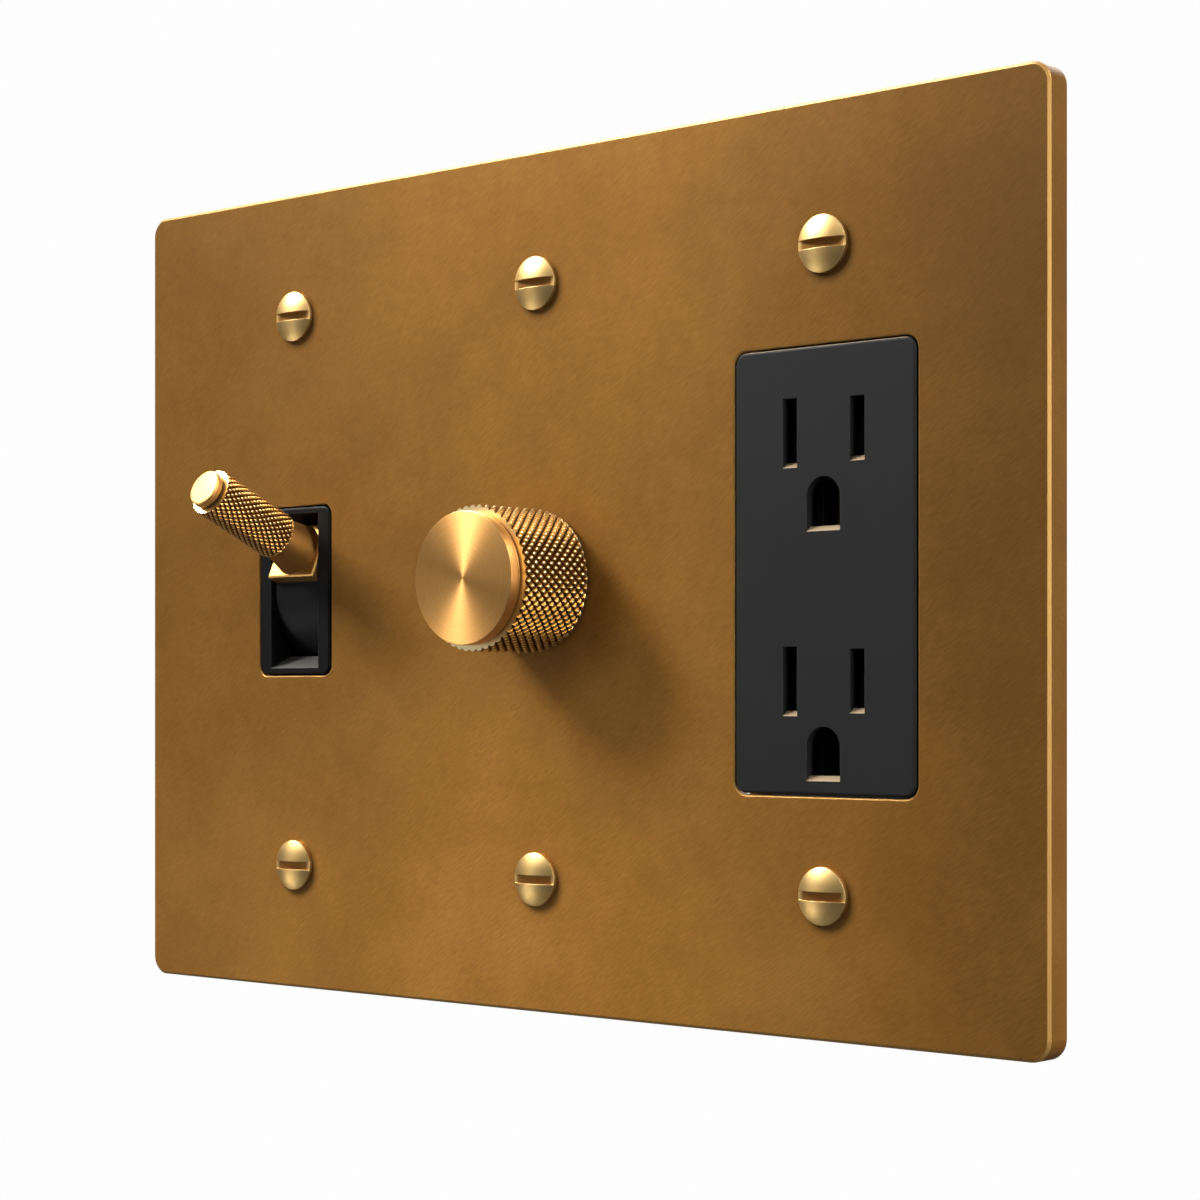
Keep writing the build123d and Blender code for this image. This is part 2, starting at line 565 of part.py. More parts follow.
def toggle_housing():
    shell = case(TOGGLE_X, TOGGLE_HOUSING_WIDTH, TOGGLE_HOUSING_HEIGHT, TOGGLE_FLOOR)
    reach = TOGGLE_HOUSING_WIDTH / 2 + CUT_OVERSHOOT
    shell -= cross_rod(PIVOT_PIN_RADIUS + FIXED_CLEARANCE, TOGGLE_X - reach, TOGGLE_X + reach, PIVOT_Y, 0)
    half = TERMINAL_PLATE_HEIGHT / 2 + FIXED_CLEARANCE
    for z in (TOGGLE_TERMINAL_Z, -TOGGLE_TERMINAL_Z):
        shell -= terminal_hole_cut(TOGGLE_SIDE, TOGGLE_FLOOR - TERMINAL_PLATE_DEPTH / 2, z)
        shell -= block((TOGGLE_SIDE - HOUSING_WALL - CUT_OVERSHOOT, TOGGLE_SIDE + CUT_OVERSHOOT),
                       (TOGGLE_BASE_Y - FIXED_CLEARANCE, TOGGLE_FLOOR), (z - half, z + half))
    return shell


def rocker_drum():
    """Convex dust drum: a curved wall on two cheeks, a hub on the pin, a stem socket and a spring tail."""
    width = BLOCK_WIDTH
    inner_radius = DRUM_RADIUS - DRUM_WALL
    across = Plane(origin=(-width / 2, 0, 0), x_dir=(0, 1, 0), z_dir=(1, 0, 0))
    reach = math.radians(DRUM_REACH)
    edge = (DRUM_RADIUS * math.sin(reach), DRUM_RADIUS * math.cos(reach))
    pie_lines = [Line((0, 0), edge), ThreePointArc(edge, (0, DRUM_RADIUS), (-edge[0], edge[1])),
                 Line((-edge[0], edge[1]), (0, 0))]
    pie = make_face(pie_lines)
    drum = extrude(across * (pie - Circle(inner_radius)), width)
    for start in (0, width - DRUM_CHEEK):
        drum += extrude(across.offset(start) * pie, DRUM_CHEEK)
    hub_length = TOGGLE_CAVITY_WIDTH - 2 * HUB_END_CLEARANCE
    hub_plane = Plane(origin=(-hub_length / 2, 0, 0), z_dir=(1, 0, 0))
    drum += extrude(hub_plane * Circle(HUB_RADIUS), hub_length)
    drum += extrude(Circle(SOCKET_RADIUS), HUB_RADIUS + SOCKET_LENGTH)
    drum += extrude(Circle(TAIL_RADIUS), -TAIL_LENGTH)
    seat = Pos(0, 0, SEAT_REACH + DRUM_RADIUS / 2) * Box(2 * width, DRUM_RADIUS, DRUM_RADIUS)
    drum -= seat
    drum -= extrude(Plane.XY.offset(STEM_ROOT) * Circle(STEM_RADIUS + FIXED_CLEARANCE), DRUM_RADIUS)
    drum -= extrude(hub_plane * Circle(PIVOT_PIN_RADIUS + RUNNING_CLEARANCE), hub_length)
    return on_lever(drum)


def lever_stem():
    """Brass stem: a root in the drum's socket, the square block, a tapered collar and the grip's spigot."""
    stem = extrude(Plane.XY.offset(STEM_ROOT) * Circle(STEM_RADIUS), SEAT_REACH - STEM_ROOT)
    square = Pos(0, 0, SEAT_REACH + BLOCK_THICKNESS / 2) * Box(BLOCK_WIDTH, BLOCK_HEIGHT, BLOCK_THICKNESS)
    square = chamfer(square.faces().sort_by(Axis.Z)[-1].edges(), BLOCK_EDGE_CHAMFER)
    collar = Pos(0, 0, BLOCK_FACE + COLLAR_LENGTH / 2)
    collar *= Cone(COLLAR_BASE_RADIUS, COLLAR_TOP_RADIUS, COLLAR_LENGTH)
    spigot_length = GRIP_LENGTH - SPIGOT_END_GAP
    spigot = extrude(Plane.XY.offset(GRIP_START) * Circle(SPIGOT_RADIUS), spigot_length)
    thread = Plane.XY.offset(GRIP_END - CAP_STUD_LENGTH - SPIGOT_END_GAP)
    bore = extrude(thread * Circle(CAP_STUD_RADIUS + FIXED_CLEARANCE), GRIP_LENGTH)
    return on_lever(stem + square + collar + spigot - bore)


def lever_grip():
    sleeve = knurled_sleeve(GRIP_RADIUS, GRIP_KNURL_DEPTH, GRIP_LENGTH, GRIP_TOOTH_COUNT,
                            GRIP_ROW_COUNT, SPIGOT_RADIUS + FIXED_CLEARANCE)
    return on_lever(Pos(0, 0, GRIP_START) * sleeve)


def lever_end_cap():
    """Button that closes the grip, on a narrower neck that leaves a shadow groove."""
    disc = extrude(Plane.XY.offset(GRIP_END + CAP_GROOVE) * Circle(CAP_RADIUS), CAP_HEIGHT)
    disc = chamfer(disc.faces().sort_by(Axis.Z)[-1].edges(), CAP_EDGE_CHAMFER)
    neck = extrude(Plane.XY.offset(GRIP_END) * Circle(CAP_NECK_RADIUS), CAP_GROOVE)
    stud = extrude(Plane.XY.offset(GRIP_END) * Circle(CAP_STUD_RADIUS), -CAP_STUD_LENGTH)
    return on_lever(disc + neck + stud)


def lever_pivot_pin():
    half = TOGGLE_HOUSING_WIDTH / 2
    return cross_rod(PIVOT_PIN_RADIUS, TOGGLE_X - half, TOGGLE_X + half, PIVOT_Y, 0)


def snap_spring():
    """Coil between the lever's tail and the front face of the contact rocker."""
    meet = TILT + math.radians(ROCKER_TILT)
    tail_to_rocker_y = PIVOT_Y + TAIL_LENGTH * math.cos(TILT) - ROCKER_Y
    tail_to_rocker_z = -TAIL_LENGTH * math.sin(TILT)
    lean = math.radians(ROCKER_TILT)
    depth = -(tail_to_rocker_y * math.cos(lean) + tail_to_rocker_z * math.sin(lean)) - ROCKER_THICKNESS / 2
    outer_radius = SPRING_RADIUS + SPRING_WIRE_RADIUS
    free = (depth - SPRING_SEAT_GAP) / math.cos(meet) - outer_radius * math.tan(meet)
    height = free - 2 * SPRING_WIRE_RADIUS - SPRING_SEAT_GAP
    coil = Helix(pitch=height / SPRING_TURNS, height=height, radius=SPRING_RADIUS)
    wire = Plane(origin=coil @ 0, z_dir=coil % 0) * Circle(SPRING_WIRE_RADIUS)
    spring = sweep(wire, path=coil, is_frenet=True)
    far_end = TAIL_LENGTH + SPRING_SEAT_GAP + SPRING_WIRE_RADIUS + height
    return on_lever(Pos(0, 0, -far_end) * spring)


def contact_rocker():
    """Moving contact arm on its pin, with a contact button behind its lower end."""
    across = Plane(origin=(-ROCKER_WIDTH / 2, 0, 0), z_dir=(1, 0, 0))
    arm = Box(ROCKER_WIDTH, ROCKER_THICKNESS, 2 * ROCKER_HALF_LENGTH)
    arm += extrude(across * Circle(ROCKER_HUB_RADIUS), ROCKER_WIDTH)
    back = Plane(origin=(0, ROCKER_THICKNESS / 2, -CONTACT_REACH), z_dir=(0, 1, 0))
    arm += extrude(back * Circle(CONTACT_RADIUS), CONTACT_HEIGHT)
    pin_hole = across * Circle(ROCKER_PIN_RADIUS + RUNNING_CLEARANCE)
    return on_rocker(arm - extrude(pin_hole, ROCKER_WIDTH))


def saddle_half_width():
    """Distance from the middle of the rocker to the outside of each saddle ear."""
    return ROCKER_WIDTH / 2 + SADDLE_GAP + SADDLE_EAR


def rocker_pin():
    half = saddle_half_width()
    return cross_rod(ROCKER_PIN_RADIUS, TOGGLE_X - half, TOGGLE_X + half, ROCKER_Y, 0)


def terminal_foot(start, z_low, z_high):
    """Strip on the toggle housing's floor from start out through the right-hand wall."""
    return block((start, TOGGLE_SIDE + TERMINAL_PLATE_THICKNESS), (TOGGLE_BASE_Y, TOGGLE_FLOOR),
                 (z_low, z_high))


def line_terminal():
    """Common terminal: a saddle that carries the rocker's pin, its foot and the upper screw plate."""
    half = saddle_half_width()
    base = block((TOGGLE_X - half, TOGGLE_X + half), (TOGGLE_BASE_Y, TOGGLE_FLOOR),
                 (-SADDLE_HALF_HEIGHT, TOGGLE_TERMINAL_Z))
    ear_top = ROCKER_Y - ROCKER_PIN_RADIUS - SADDLE_TOP_MARGIN
    for start in (TOGGLE_X - half, TOGGLE_X + half - SADDLE_EAR):
        base += block((start, start + SADDLE_EAR), (ear_top, TOGGLE_FLOOR),
                      (-SADDLE_HALF_HEIGHT, SADDLE_HALF_HEIGHT))
    plate_half = TERMINAL_PLATE_HEIGHT / 2
    base += terminal_foot(TOGGLE_X - half, TOGGLE_TERMINAL_Z - plate_half, TOGGLE_TERMINAL_Z + plate_half)
    base += side_plate(TOGGLE_SIDE, TOGGLE_FLOOR, TOGGLE_TERMINAL_Z)
    pin_radius = ROCKER_PIN_RADIUS + FIXED_CLEARANCE
    return base - cross_rod(pin_radius, TOGGLE_X - half, TOGGLE_X + half, ROCKER_Y, 0)


def load_terminal():
    """Fixed contact behind the rocker's lower end, its foot and the lower screw plate."""
    lean = math.radians(ROCKER_TILT)
    height = ROCKER_THICKNESS / 2 + CONTACT_HEIGHT
    contact_z = -CONTACT_REACH * math.cos(lean) + height * math.sin(lean)
    reach = CONTACT_REACH * math.sin(lean) + height * math.cos(lean) + CONTACT_RADIUS * math.sin(lean)
    contact_y = ROCKER_Y + reach + CONTACT_GAP
    half = TERMINAL_PLATE_HEIGHT / 2
    foot = terminal_foot(TOGGLE_X - CONTACT_RADIUS, -TOGGLE_TERMINAL_Z - half, -TOGGLE_TERMINAL_Z + half)
    foot += rod(CONTACT_RADIUS, contact_y, TOGGLE_FLOOR, TOGGLE_X, contact_z)
    return foot + side_plate(TOGGLE_SIDE, TOGGLE_FLOOR, -TOGGLE_TERMINAL_Z)


def toggle_terminal_screws():
    y = TOGGLE_FLOOR - TERMINAL_PLATE_DEPTH / 2
    x = TOGGLE_SIDE + TERMINAL_PLATE_THICKNESS
    return [side_screw(x, y, z, 1) for z in (TOGGLE_TERMINAL_Z, -TOGGLE_TERMINAL_Z)]


# Rotary dimmer
def d_section(clearance):
    """Shaft section with its driving flat on the upper side."""
    radius = SHAFT_RADIUS + clearance
    flat = SHAFT_FLAT + clearance
    return Circle(radius) - Pos(0, flat + radius) * Rectangle(4 * radius, 2 * radius)


def knob_sleeve():
    sleeve = knurled_sleeve(KNOB_RADIUS, KNOB_KNURL_DEPTH, KNOB_LENGTH, KNOB_TOOTH_COUNT,
                            KNOB_ROW_COUNT, KNOB_BORE_RADIUS)
    return facing(DIMMER_X, KNOB_BACK, 0).location * sleeve


def knob_face():
    """Turned face disc, shadow groove and the spigot that fills the sleeve and grips the shaft."""
    front = KNOB_FACE_BACK - KNOB_FACE_HEIGHT
    spigot_radius = KNOB_BORE_RADIUS - FIXED_CLEARANCE
    profile = [(0, front), (KNOB_FACE_RADIUS - KNOB_FACE_CHAMFER, front),
               (KNOB_FACE_RADIUS, front + KNOB_FACE_CHAMFER), (KNOB_FACE_RADIUS, KNOB_FACE_BACK),
               (KNOB_GROOVE_RADIUS, KNOB_FACE_BACK), (KNOB_GROOVE_RADIUS, KNOB_FRONT),
               (spigot_radius, KNOB_FRONT), (spigot_radius, SPIGOT_BACK), (0, SPIGOT_BACK)]
    bore = extrude(facing(DIMMER_X, SPIGOT_BACK, 0) * d_section(FIXED_CLEARANCE), SHAFT_IN_KNOB)
    return turned(profile, DIMMER_X) - bore


def dimmer_shaft():
    back = POT_BACK - POT_WALL - SHAFT_END_GAP
    front_part = extrude(facing(DIMMER_X, SPIGOT_BACK, 0) * d_section(0.0), SPIGOT_BACK - SHAFT_FRONT)
    return front_part + rod(SHAFT_RADIUS, SPIGOT_BACK, back, DIMMER_X)


def dimmer_bushing():
    barrel = rod(BUSHING_RADIUS, -BUSHING_FRONT, BUSHING_FLANGE_THICKNESS, DIMMER_X)
    barrel += rod(BUSHING_FLANGE_RADIUS, 0.0, BUSHING_FLANGE_THICKNESS, DIMMER_X)
    return barrel - rod(SHAFT_RADIUS + RUNNING_CLEARANCE, -BUSHING_FRONT, BUSHING_FLANGE_THICKNESS, DIMMER_X)


def bushing_nut():
    hexagon = facing(DIMMER_X, STRAP_FRONT, 0) * RegularPolygon(NUT_RADIUS, 6)
    return extrude(hexagon, NUT_THICKNESS) - rod(BUSHING_RADIUS + FIXED_CLEARANCE,
                                                 STRAP_FRONT - NUT_THICKNESS, STRAP_FRONT, DIMMER_X)


def dimmer_strap():
    yoke = strap(DIMMER_X, DIMMER_STRAP_WIDTH, lug_places(DIMMER_X, DIMMER_HOUSING_HEIGHT))
    return yoke - rod(BUSHING_RADIUS + FIXED_CLEARANCE, STRAP_FRONT, 0.0, DIMMER_X)


def potentiometer_case():
    """Steel can behind the bushing, closed at the front round the shaft."""
    front = BUSHING_FLANGE_THICKNESS
    can = rod(POT_RADIUS, front, POT_BACK, DIMMER_X)
    can -= rod(POT_RADIUS - POT_WALL, front + POT_WALL, POT_BACK - POT_WALL, DIMMER_X)
    return can - rod(SHAFT_RADIUS + RUNNING_CLEARANCE, front, front + POT_WALL, DIMMER_X)


def potentiometer_wiper():
    """Wiper disc on the shaft, with one contact finger."""
    front = BUSHING_FLANGE_THICKNESS + WIPER_SETBACK
    back = front + WIPER_THICKNESS
    disc = rod(WIPER_RADIUS, front, back, DIMMER_X)
    finger_width = WIPER_RADIUS / 3
    disc += slab(finger_width, finger_width, back, back + WIPER_THICKNESS, DIMMER_X,
                 SHAFT_RADIUS + finger_width)
    return disc - rod(SHAFT_RADIUS + FIXED_CLEARANCE, front, back, DIMMER_X)


def dimmer_housing():
    """Deep case with four posts that carry the circuit board and a slot for each terminal."""
    shell = case(DIMMER_X, DIMMER_HOUSING_WIDTH, DIMMER_HOUSING_HEIGHT, DIMMER_FLOOR)
    post_x = BOARD_WIDTH / 2 - POST_RADIUS
    post_z = BOARD_HEIGHT / 2 - POST_RADIUS
    for x in (post_x, -post_x):
        for z in (post_z, -post_z):
            shell += rod(POST_RADIUS, BOARD_BACK, DIMMER_BACK, DIMMER_X + x, z)
    half = TERMINAL_PLATE_HEIGHT / 2 + FIXED_CLEARANCE
    base = BOARD_BACK + TERMINAL_PLATE_THICKNESS
    for z in (DIMMER_TERMINAL_Z, -DIMMER_TERMINAL_Z):
        shell -= terminal_hole_cut(DIMMER_SIDE, base - TERMINAL_PLATE_DEPTH / 2, z)
        shell -= block((DIMMER_SIDE - HOUSING_WALL - CUT_OVERSHOOT, DIMMER_SIDE + CUT_OVERSHOOT),
                       (BOARD_BACK, base + FIXED_CLEARANCE), (z - half, z + half))
    return shell


def circuit_board():
    """Board on the posts, relieved at the right edge for the terminal screws' shanks."""
    board = slab(BOARD_WIDTH, BOARD_HEIGHT, POT_BACK, BOARD_BACK, DIMMER_X)
    relief = TERMINAL_SCREW_REACH + HOLE_CLEARANCE
    half = TERMINAL_SCREW_RADIUS + HOLE_CLEARANCE
    for z in (DIMMER_TERMINAL_Z, -DIMMER_TERMINAL_Z):
        board -= block((DIMMER_SIDE - relief, DIMMER_SIDE), (POT_BACK, BOARD_BACK), (z - half, z + half))
    return board


def triac():
    """Power switch with its tab flat on the strap and three leads bent back to the board."""
    top = BOARD_HEIGHT / 2 - TRIAC_END_GAP
    body_low = top - TRIAC_TAB_HEIGHT
    half = TRIAC_WIDTH / 2
    body = block((-half, half), (0.0, TRIAC_TAB_THICKNESS), (body_low, top))
    body += block((-half, half), (0.0, TRIAC_BODY_THICKNESS), (body_low, body_low + TRIAC_BODY_HEIGHT))
    lead_y = (TRIAC_BODY_THICKNESS - TRIAC_LEAD_WIDTH) / 2
    for lead_x in (-TRIAC_LEAD_PITCH, 0.0, TRIAC_LEAD_PITCH):
        span = (lead_x - TRIAC_LEAD_WIDTH / 2, lead_x + TRIAC_LEAD_WIDTH / 2)
        lead_low = body_low - TRIAC_LEAD_DROP
        body += block(span, (lead_y, lead_y + TRIAC_LEAD_WIDTH), (lead_low, body_low))
        body += block(span, (lead_y, POT_BACK), (lead_low, lead_low + TRIAC_LEAD_WIDTH))
    return Pos(DIMMER_X, 0, 0) * body


def choke_coil():
    """Toroid choke lying on the back of the board."""
    ring = rod(CHOKE_RADIUS, BOARD_BACK, BOARD_BACK + CHOKE_HEIGHT, DIMMER_X, CHOKE_Z)
    ring -= rod(CHOKE_BORE_RADIUS, BOARD_BACK, BOARD_BACK + CHOKE_HEIGHT, DIMMER_X, CHOKE_Z)
    return fillet(ring.faces().sort_by(Axis.Y)[-1].edges(), CHOKE_EDGE_FILLET)


def film_capacitor():
    back = BOARD_BACK + CAPACITOR_DEPTH
    body = slab(CAPACITOR_WIDTH, CAPACITOR_HEIGHT, BOARD_BACK, back, DIMMER_X, CAPACITOR_Z)
    return fillet(body.faces().sort_by(Axis.Y)[-1].edges(), CAPACITOR_EDGE_FILLET)


def dimmer_terminals():
    """Two angle terminals: a foot on the back of the board and a screw plate outside the wall."""
    base = BOARD_BACK + TERMINAL_PLATE_THICKNESS
    half = TERMINAL_PLATE_HEIGHT / 2
    start = DIMMER_SIDE - HOUSING_WALL - TERMINAL_PLATE_HEIGHT
    shapes = []
    for z in (DIMMER_TERMINAL_Z, -DIMMER_TERMINAL_Z):
        foot = block((start, DIMMER_SIDE + TERMINAL_PLATE_THICKNESS), (BOARD_BACK, base),
                     (z - half, z + half))
        shapes.append(foot + side_plate(DIMMER_SIDE, base, z))
    return shapes


def dimmer_terminal_screws():
    y = BOARD_BACK + TERMINAL_PLATE_THICKNESS - TERMINAL_PLATE_DEPTH / 2
    x = DIMMER_SIDE + TERMINAL_PLATE_THICKNESS
    return [side_screw(x, y, z, 1) for z in (DIMMER_TERMINAL_Z, -DIMMER_TERMINAL_Z)]


# Duplex receptacle
def arch(width, height):
    """Ground-pin hole: round above, flat below."""
    radius = width / 2
    straight = height - radius
    foot = Pos(0, (straight - height) / 2) * Rectangle(width, straight)
    return foot + Pos(0, height / 2 - radius) * Circle(radius)


def ledge(width, x, bottom):
    """Sloping lead-in cut in the face below a slot."""
    profile = [(FACE_FRONT, bottom - SLOT_LEDGE_HEIGHT), (FACE_FRONT + SLOT_LEDGE_DEPTH, bottom),
               (FACE_FRONT, bottom)]
    side = Plane(origin=(x - width / 2, 0, 0), x_dir=(0, 1, 0), z_dir=(1, 0, 0))
    return extrude(side * make_face(Polyline(*profile, close=True)), width)


def receptacle_face():
    """Moulded face with two outlets: a tall and a short blade slot over an arched ground hole.

    Each slot pierces a thin web, and a wider relief behind the web clears the contacts.
    """
    face = slab(FACE_WIDTH, FACE_HEIGHT, FACE_FRONT, STRAP_FRONT, RECEPTACLE_X, radius=FACE_CORNER_RADIUS)
    face = fillet(face.faces().sort_by(Axis.Y)[0].outer_wire().edges(), FACE_EDGE_FILLET)
    slots = ((-BLADE_X, NEUTRAL_SLOT_HEIGHT), (BLADE_X, HOT_SLOT_HEIGHT))
    web_back = FACE_FRONT + SLOT_WEB
    wider = 2 * SLOT_RELIEF
    for outlet in OUTLETS:
        for x, height in slots:
            z = outlet + BLADE_RISE
            face -= slab(BLADE_SLOT_WIDTH, height, FACE_FRONT, web_back, RECEPTACLE_X + x, z)
            face -= slab(BLADE_SLOT_WIDTH + wider, height + wider, web_back, STRAP_FRONT,
                         RECEPTACLE_X + x, z)
            face -= ledge(BLADE_SLOT_WIDTH, RECEPTACLE_X + x, z - height / 2)
        z = outlet - GROUND_DROP
        hole = facing(RECEPTACLE_X, web_back, z) * arch(GROUND_HOLE_WIDTH, GROUND_HOLE_HEIGHT)
        face -= extrude(hole, SLOT_WEB)
        relief = arch(GROUND_HOLE_WIDTH + wider, GROUND_HOLE_HEIGHT + wider)
        face -= extrude(facing(RECEPTACLE_X, STRAP_FRONT, z) * relief, STRAP_FRONT - web_back)
        face -= ledge(GROUND_HOLE_WIDTH, RECEPTACLE_X, z - GROUND_HOLE_HEIGHT / 2)
    for x, z in body_screw_places():
        face -= rod(BODY_SCREW_RADIUS + FIXED_CLEARANCE, STRAP_FRONT - BODY_SCREW_BITE, STRAP_FRONT, x, z)
    return face


def body_screw_places():
    sides = (RECEPTACLE_X + BODY_SCREW_X, RECEPTACLE_X - BODY_SCREW_X)
    return [(x, z) for x in sides for z in (BODY_SCREW_Z, -BODY_SCREW_Z)]


def receptacle_strap():
    yoke = strap(RECEPTACLE_X, EAR_WIDTH)
    for outlet in OUTLETS:
        height = WINDOW_TOP - WINDOW_BOTTOM
        middle = outlet + (WINDOW_TOP + WINDOW_BOTTOM) / 2
        yoke -= slab(STRAP_WINDOW_WIDTH, height, STRAP_FRONT, 0.0, RECEPTACLE_X, middle)
    for x, z in body_screw_places():
        yoke -= rod(BODY_SCREW_RADIUS + HOLE_CLEARANCE, STRAP_FRONT, 0.0, x, z)
    return yoke


def blade_bus_span():
    """Low and high ends of the strip that joins the two blade clips of one pole."""
    half = CONTACT_LEAF_HEIGHT / 2
    return OUTLETS[1] + BLADE_RISE - half, OUTLETS[0] + BLADE_RISE + half


def side_screw_places():
    half = RECEPTACLE_TERMINAL_SPACING / 2
    middle = sum(blade_bus_span()) / 2
    return (middle + half, middle - half)


def pole_channel():
    """Space in the body for the right-hand contacts, measured from the receptacle's middle."""
    low, high = blade_bus_span()
    half = BLADE_GRIP / 2 + CONTACT_LEAF + CHANNEL_CLEARANCE
    channel = block((BLADE_X - half, BLADE_X + half), (0.0, CHANNEL_BACK),
                    (low - CHANNEL_CLEARANCE, high + CHANNEL_CLEARANCE))
    middle = (low + high) / 2
    plate_half = RECEPTACLE_SIDE_PLATE_HEIGHT / 2 + CHANNEL_CLEARANCE
    channel += block((BLADE_X, BODY_SIDE + CUT_OVERSHOOT), (CONTACT_DEPTH - CHANNEL_CLEARANCE, CHANNEL_BACK),
                     (middle - plate_half, middle + plate_half))
    for z in side_screw_places():
        channel += cross_rod(TERMINAL_SCREW_RADIUS + HOLE_CLEARANCE, BODY_SIDE - TERMINAL_SCREW_REACH,
                             BODY_SIDE + CUT_OVERSHOOT, BUS_BACK - SIDE_PLATE_DEPTH / 2, z)
    return channel


def ground_channel():
    """Space in the body for the ground clips and the riser to the strap."""
    half = GROUND_GRIP / 2 + CONTACT_LEAF + CHANNEL_CLEARANCE
    low = RISER_Z - CONTACT_LEAF - CHANNEL_CLEARANCE
    high = OUTLETS[0] - GROUND_DROP + CONTACT_LEAF_HEIGHT / 2 + CHANNEL_CLEARANCE
    return block((-half, half), (0.0, CHANNEL_BACK), (low, high))


def receptacle_body():
    """Moulded body with a channel for each set of contacts, open towards the strap."""
    body = slab(BODY_WIDTH, BODY_HEIGHT, 0.0, BODY_DEPTH, radius=BODY_CORNER_RADIUS)
    channel = pole_channel()
    body = body - channel - mirror(channel, about=Plane.YZ) - ground_channel()
    body = Pos(RECEPTACLE_X, 0, 0) * body
    for x, z in body_screw_places():
        body -= rod(BODY_SCREW_RADIUS + HOLE_CLEARANCE, 0.0, BODY_DEPTH, x, z)
    return body


def pole_contacts():
    """Right-hand pole: two blade clips on a bus strip and a side plate with two screw holes."""
    low, high = blade_bus_span()
    inner = BLADE_GRIP / 2
    outer = inner + CONTACT_LEAF
    bus = block((BLADE_X - outer, BLADE_X + outer), (CONTACT_DEPTH, BUS_BACK), (low, high))
    half_leaf = CONTACT_LEAF_HEIGHT / 2
    for outlet in OUTLETS:
        z = outlet + BLADE_RISE
        for start in (-outer, inner):
            span = (BLADE_X + start, BLADE_X + start + CONTACT_LEAF)
            bus += block(span, (CONTACT_FRONT, CONTACT_DEPTH), (z - half_leaf, z + half_leaf))
    middle = (low + high) / 2
    half = RECEPTACLE_SIDE_PLATE_HEIGHT / 2
    plate_x = BODY_SIDE + TERMINAL_PLATE_THICKNESS
    bus += block((BLADE_X, plate_x), (CONTACT_DEPTH, BUS_BACK), (middle - half, middle + half))
    bus += block((BODY_SIDE, plate_x), (BUS_BACK - SIDE_PLATE_DEPTH, BUS_BACK),
                 (middle - half, middle + half))
    for z in side_screw_places():
        bus -= cross_rod(TERMINAL_SCREW_RADIUS + FIXED_CLEARANCE, BODY_SIDE, plate_x,
                         BUS_BACK - SIDE_PLATE_DEPTH / 2, z)
    return bus


def hot_contacts():
    return Pos(RECEPTACLE_X, 0, 0) * pole_contacts()


def neutral_contacts():
    return Pos(RECEPTACLE_X, 0, 0) * mirror(pole_contacts(), about=Plane.YZ)


def ground_contacts():
    """Two round-pin clips on a strip whose lower end rises to the strap."""
    inner = GROUND_GRIP / 2
    outer = inner + CONTACT_LEAF
    half_leaf = CONTACT_LEAF_HEIGHT / 2
    high = OUTLETS[0] - GROUND_DROP + half_leaf
    strip = block((-outer, outer), (CONTACT_DEPTH, BUS_BACK), (RISER_Z - CONTACT_LEAF, high))
    strip += block((-outer, outer), (0.0, BUS_BACK), (RISER_Z - CONTACT_LEAF, RISER_Z))
    for outlet in OUTLETS:
        z = outlet - GROUND_DROP
        for start in (-outer, inner):
            strip += block((start, start + CONTACT_LEAF), (CONTACT_FRONT, CONTACT_DEPTH),
                           (z - half_leaf, z + half_leaf))
    return Pos(RECEPTACLE_X, 0, 0) * strip


def pole_screws(side):
    x = RECEPTACLE_X + side * (BODY_SIDE + TERMINAL_PLATE_THICKNESS)
    y = BUS_BACK - SIDE_PLATE_DEPTH / 2
    return [side_screw(x, y, z, side) for z in side_screw_places()]


def receptacle_body_screws():
    """Four screws from the back that clamp body, strap and face together."""
    reach = BODY_DEPTH + STRAP_THICKNESS + BODY_SCREW_BITE
    screw = slotted_screw(BODY_SCREW_RADIUS, reach, BODY_SCREW_HEAD_RADIUS, BODY_SCREW_HEAD_EDGE,
                          BODY_SCREW_HEAD_DOME, BODY_SCREW_SLOT_WIDTH, BODY_SCREW_SLOT_DEPTH)
    shapes = []
    for x, z in body_screw_places():
        seat = Plane(origin=(x, BODY_DEPTH, z), x_dir=(1, 0, 0), z_dir=(0, 1, 0))
        shapes.append(seat.location * screw)
    return shapes


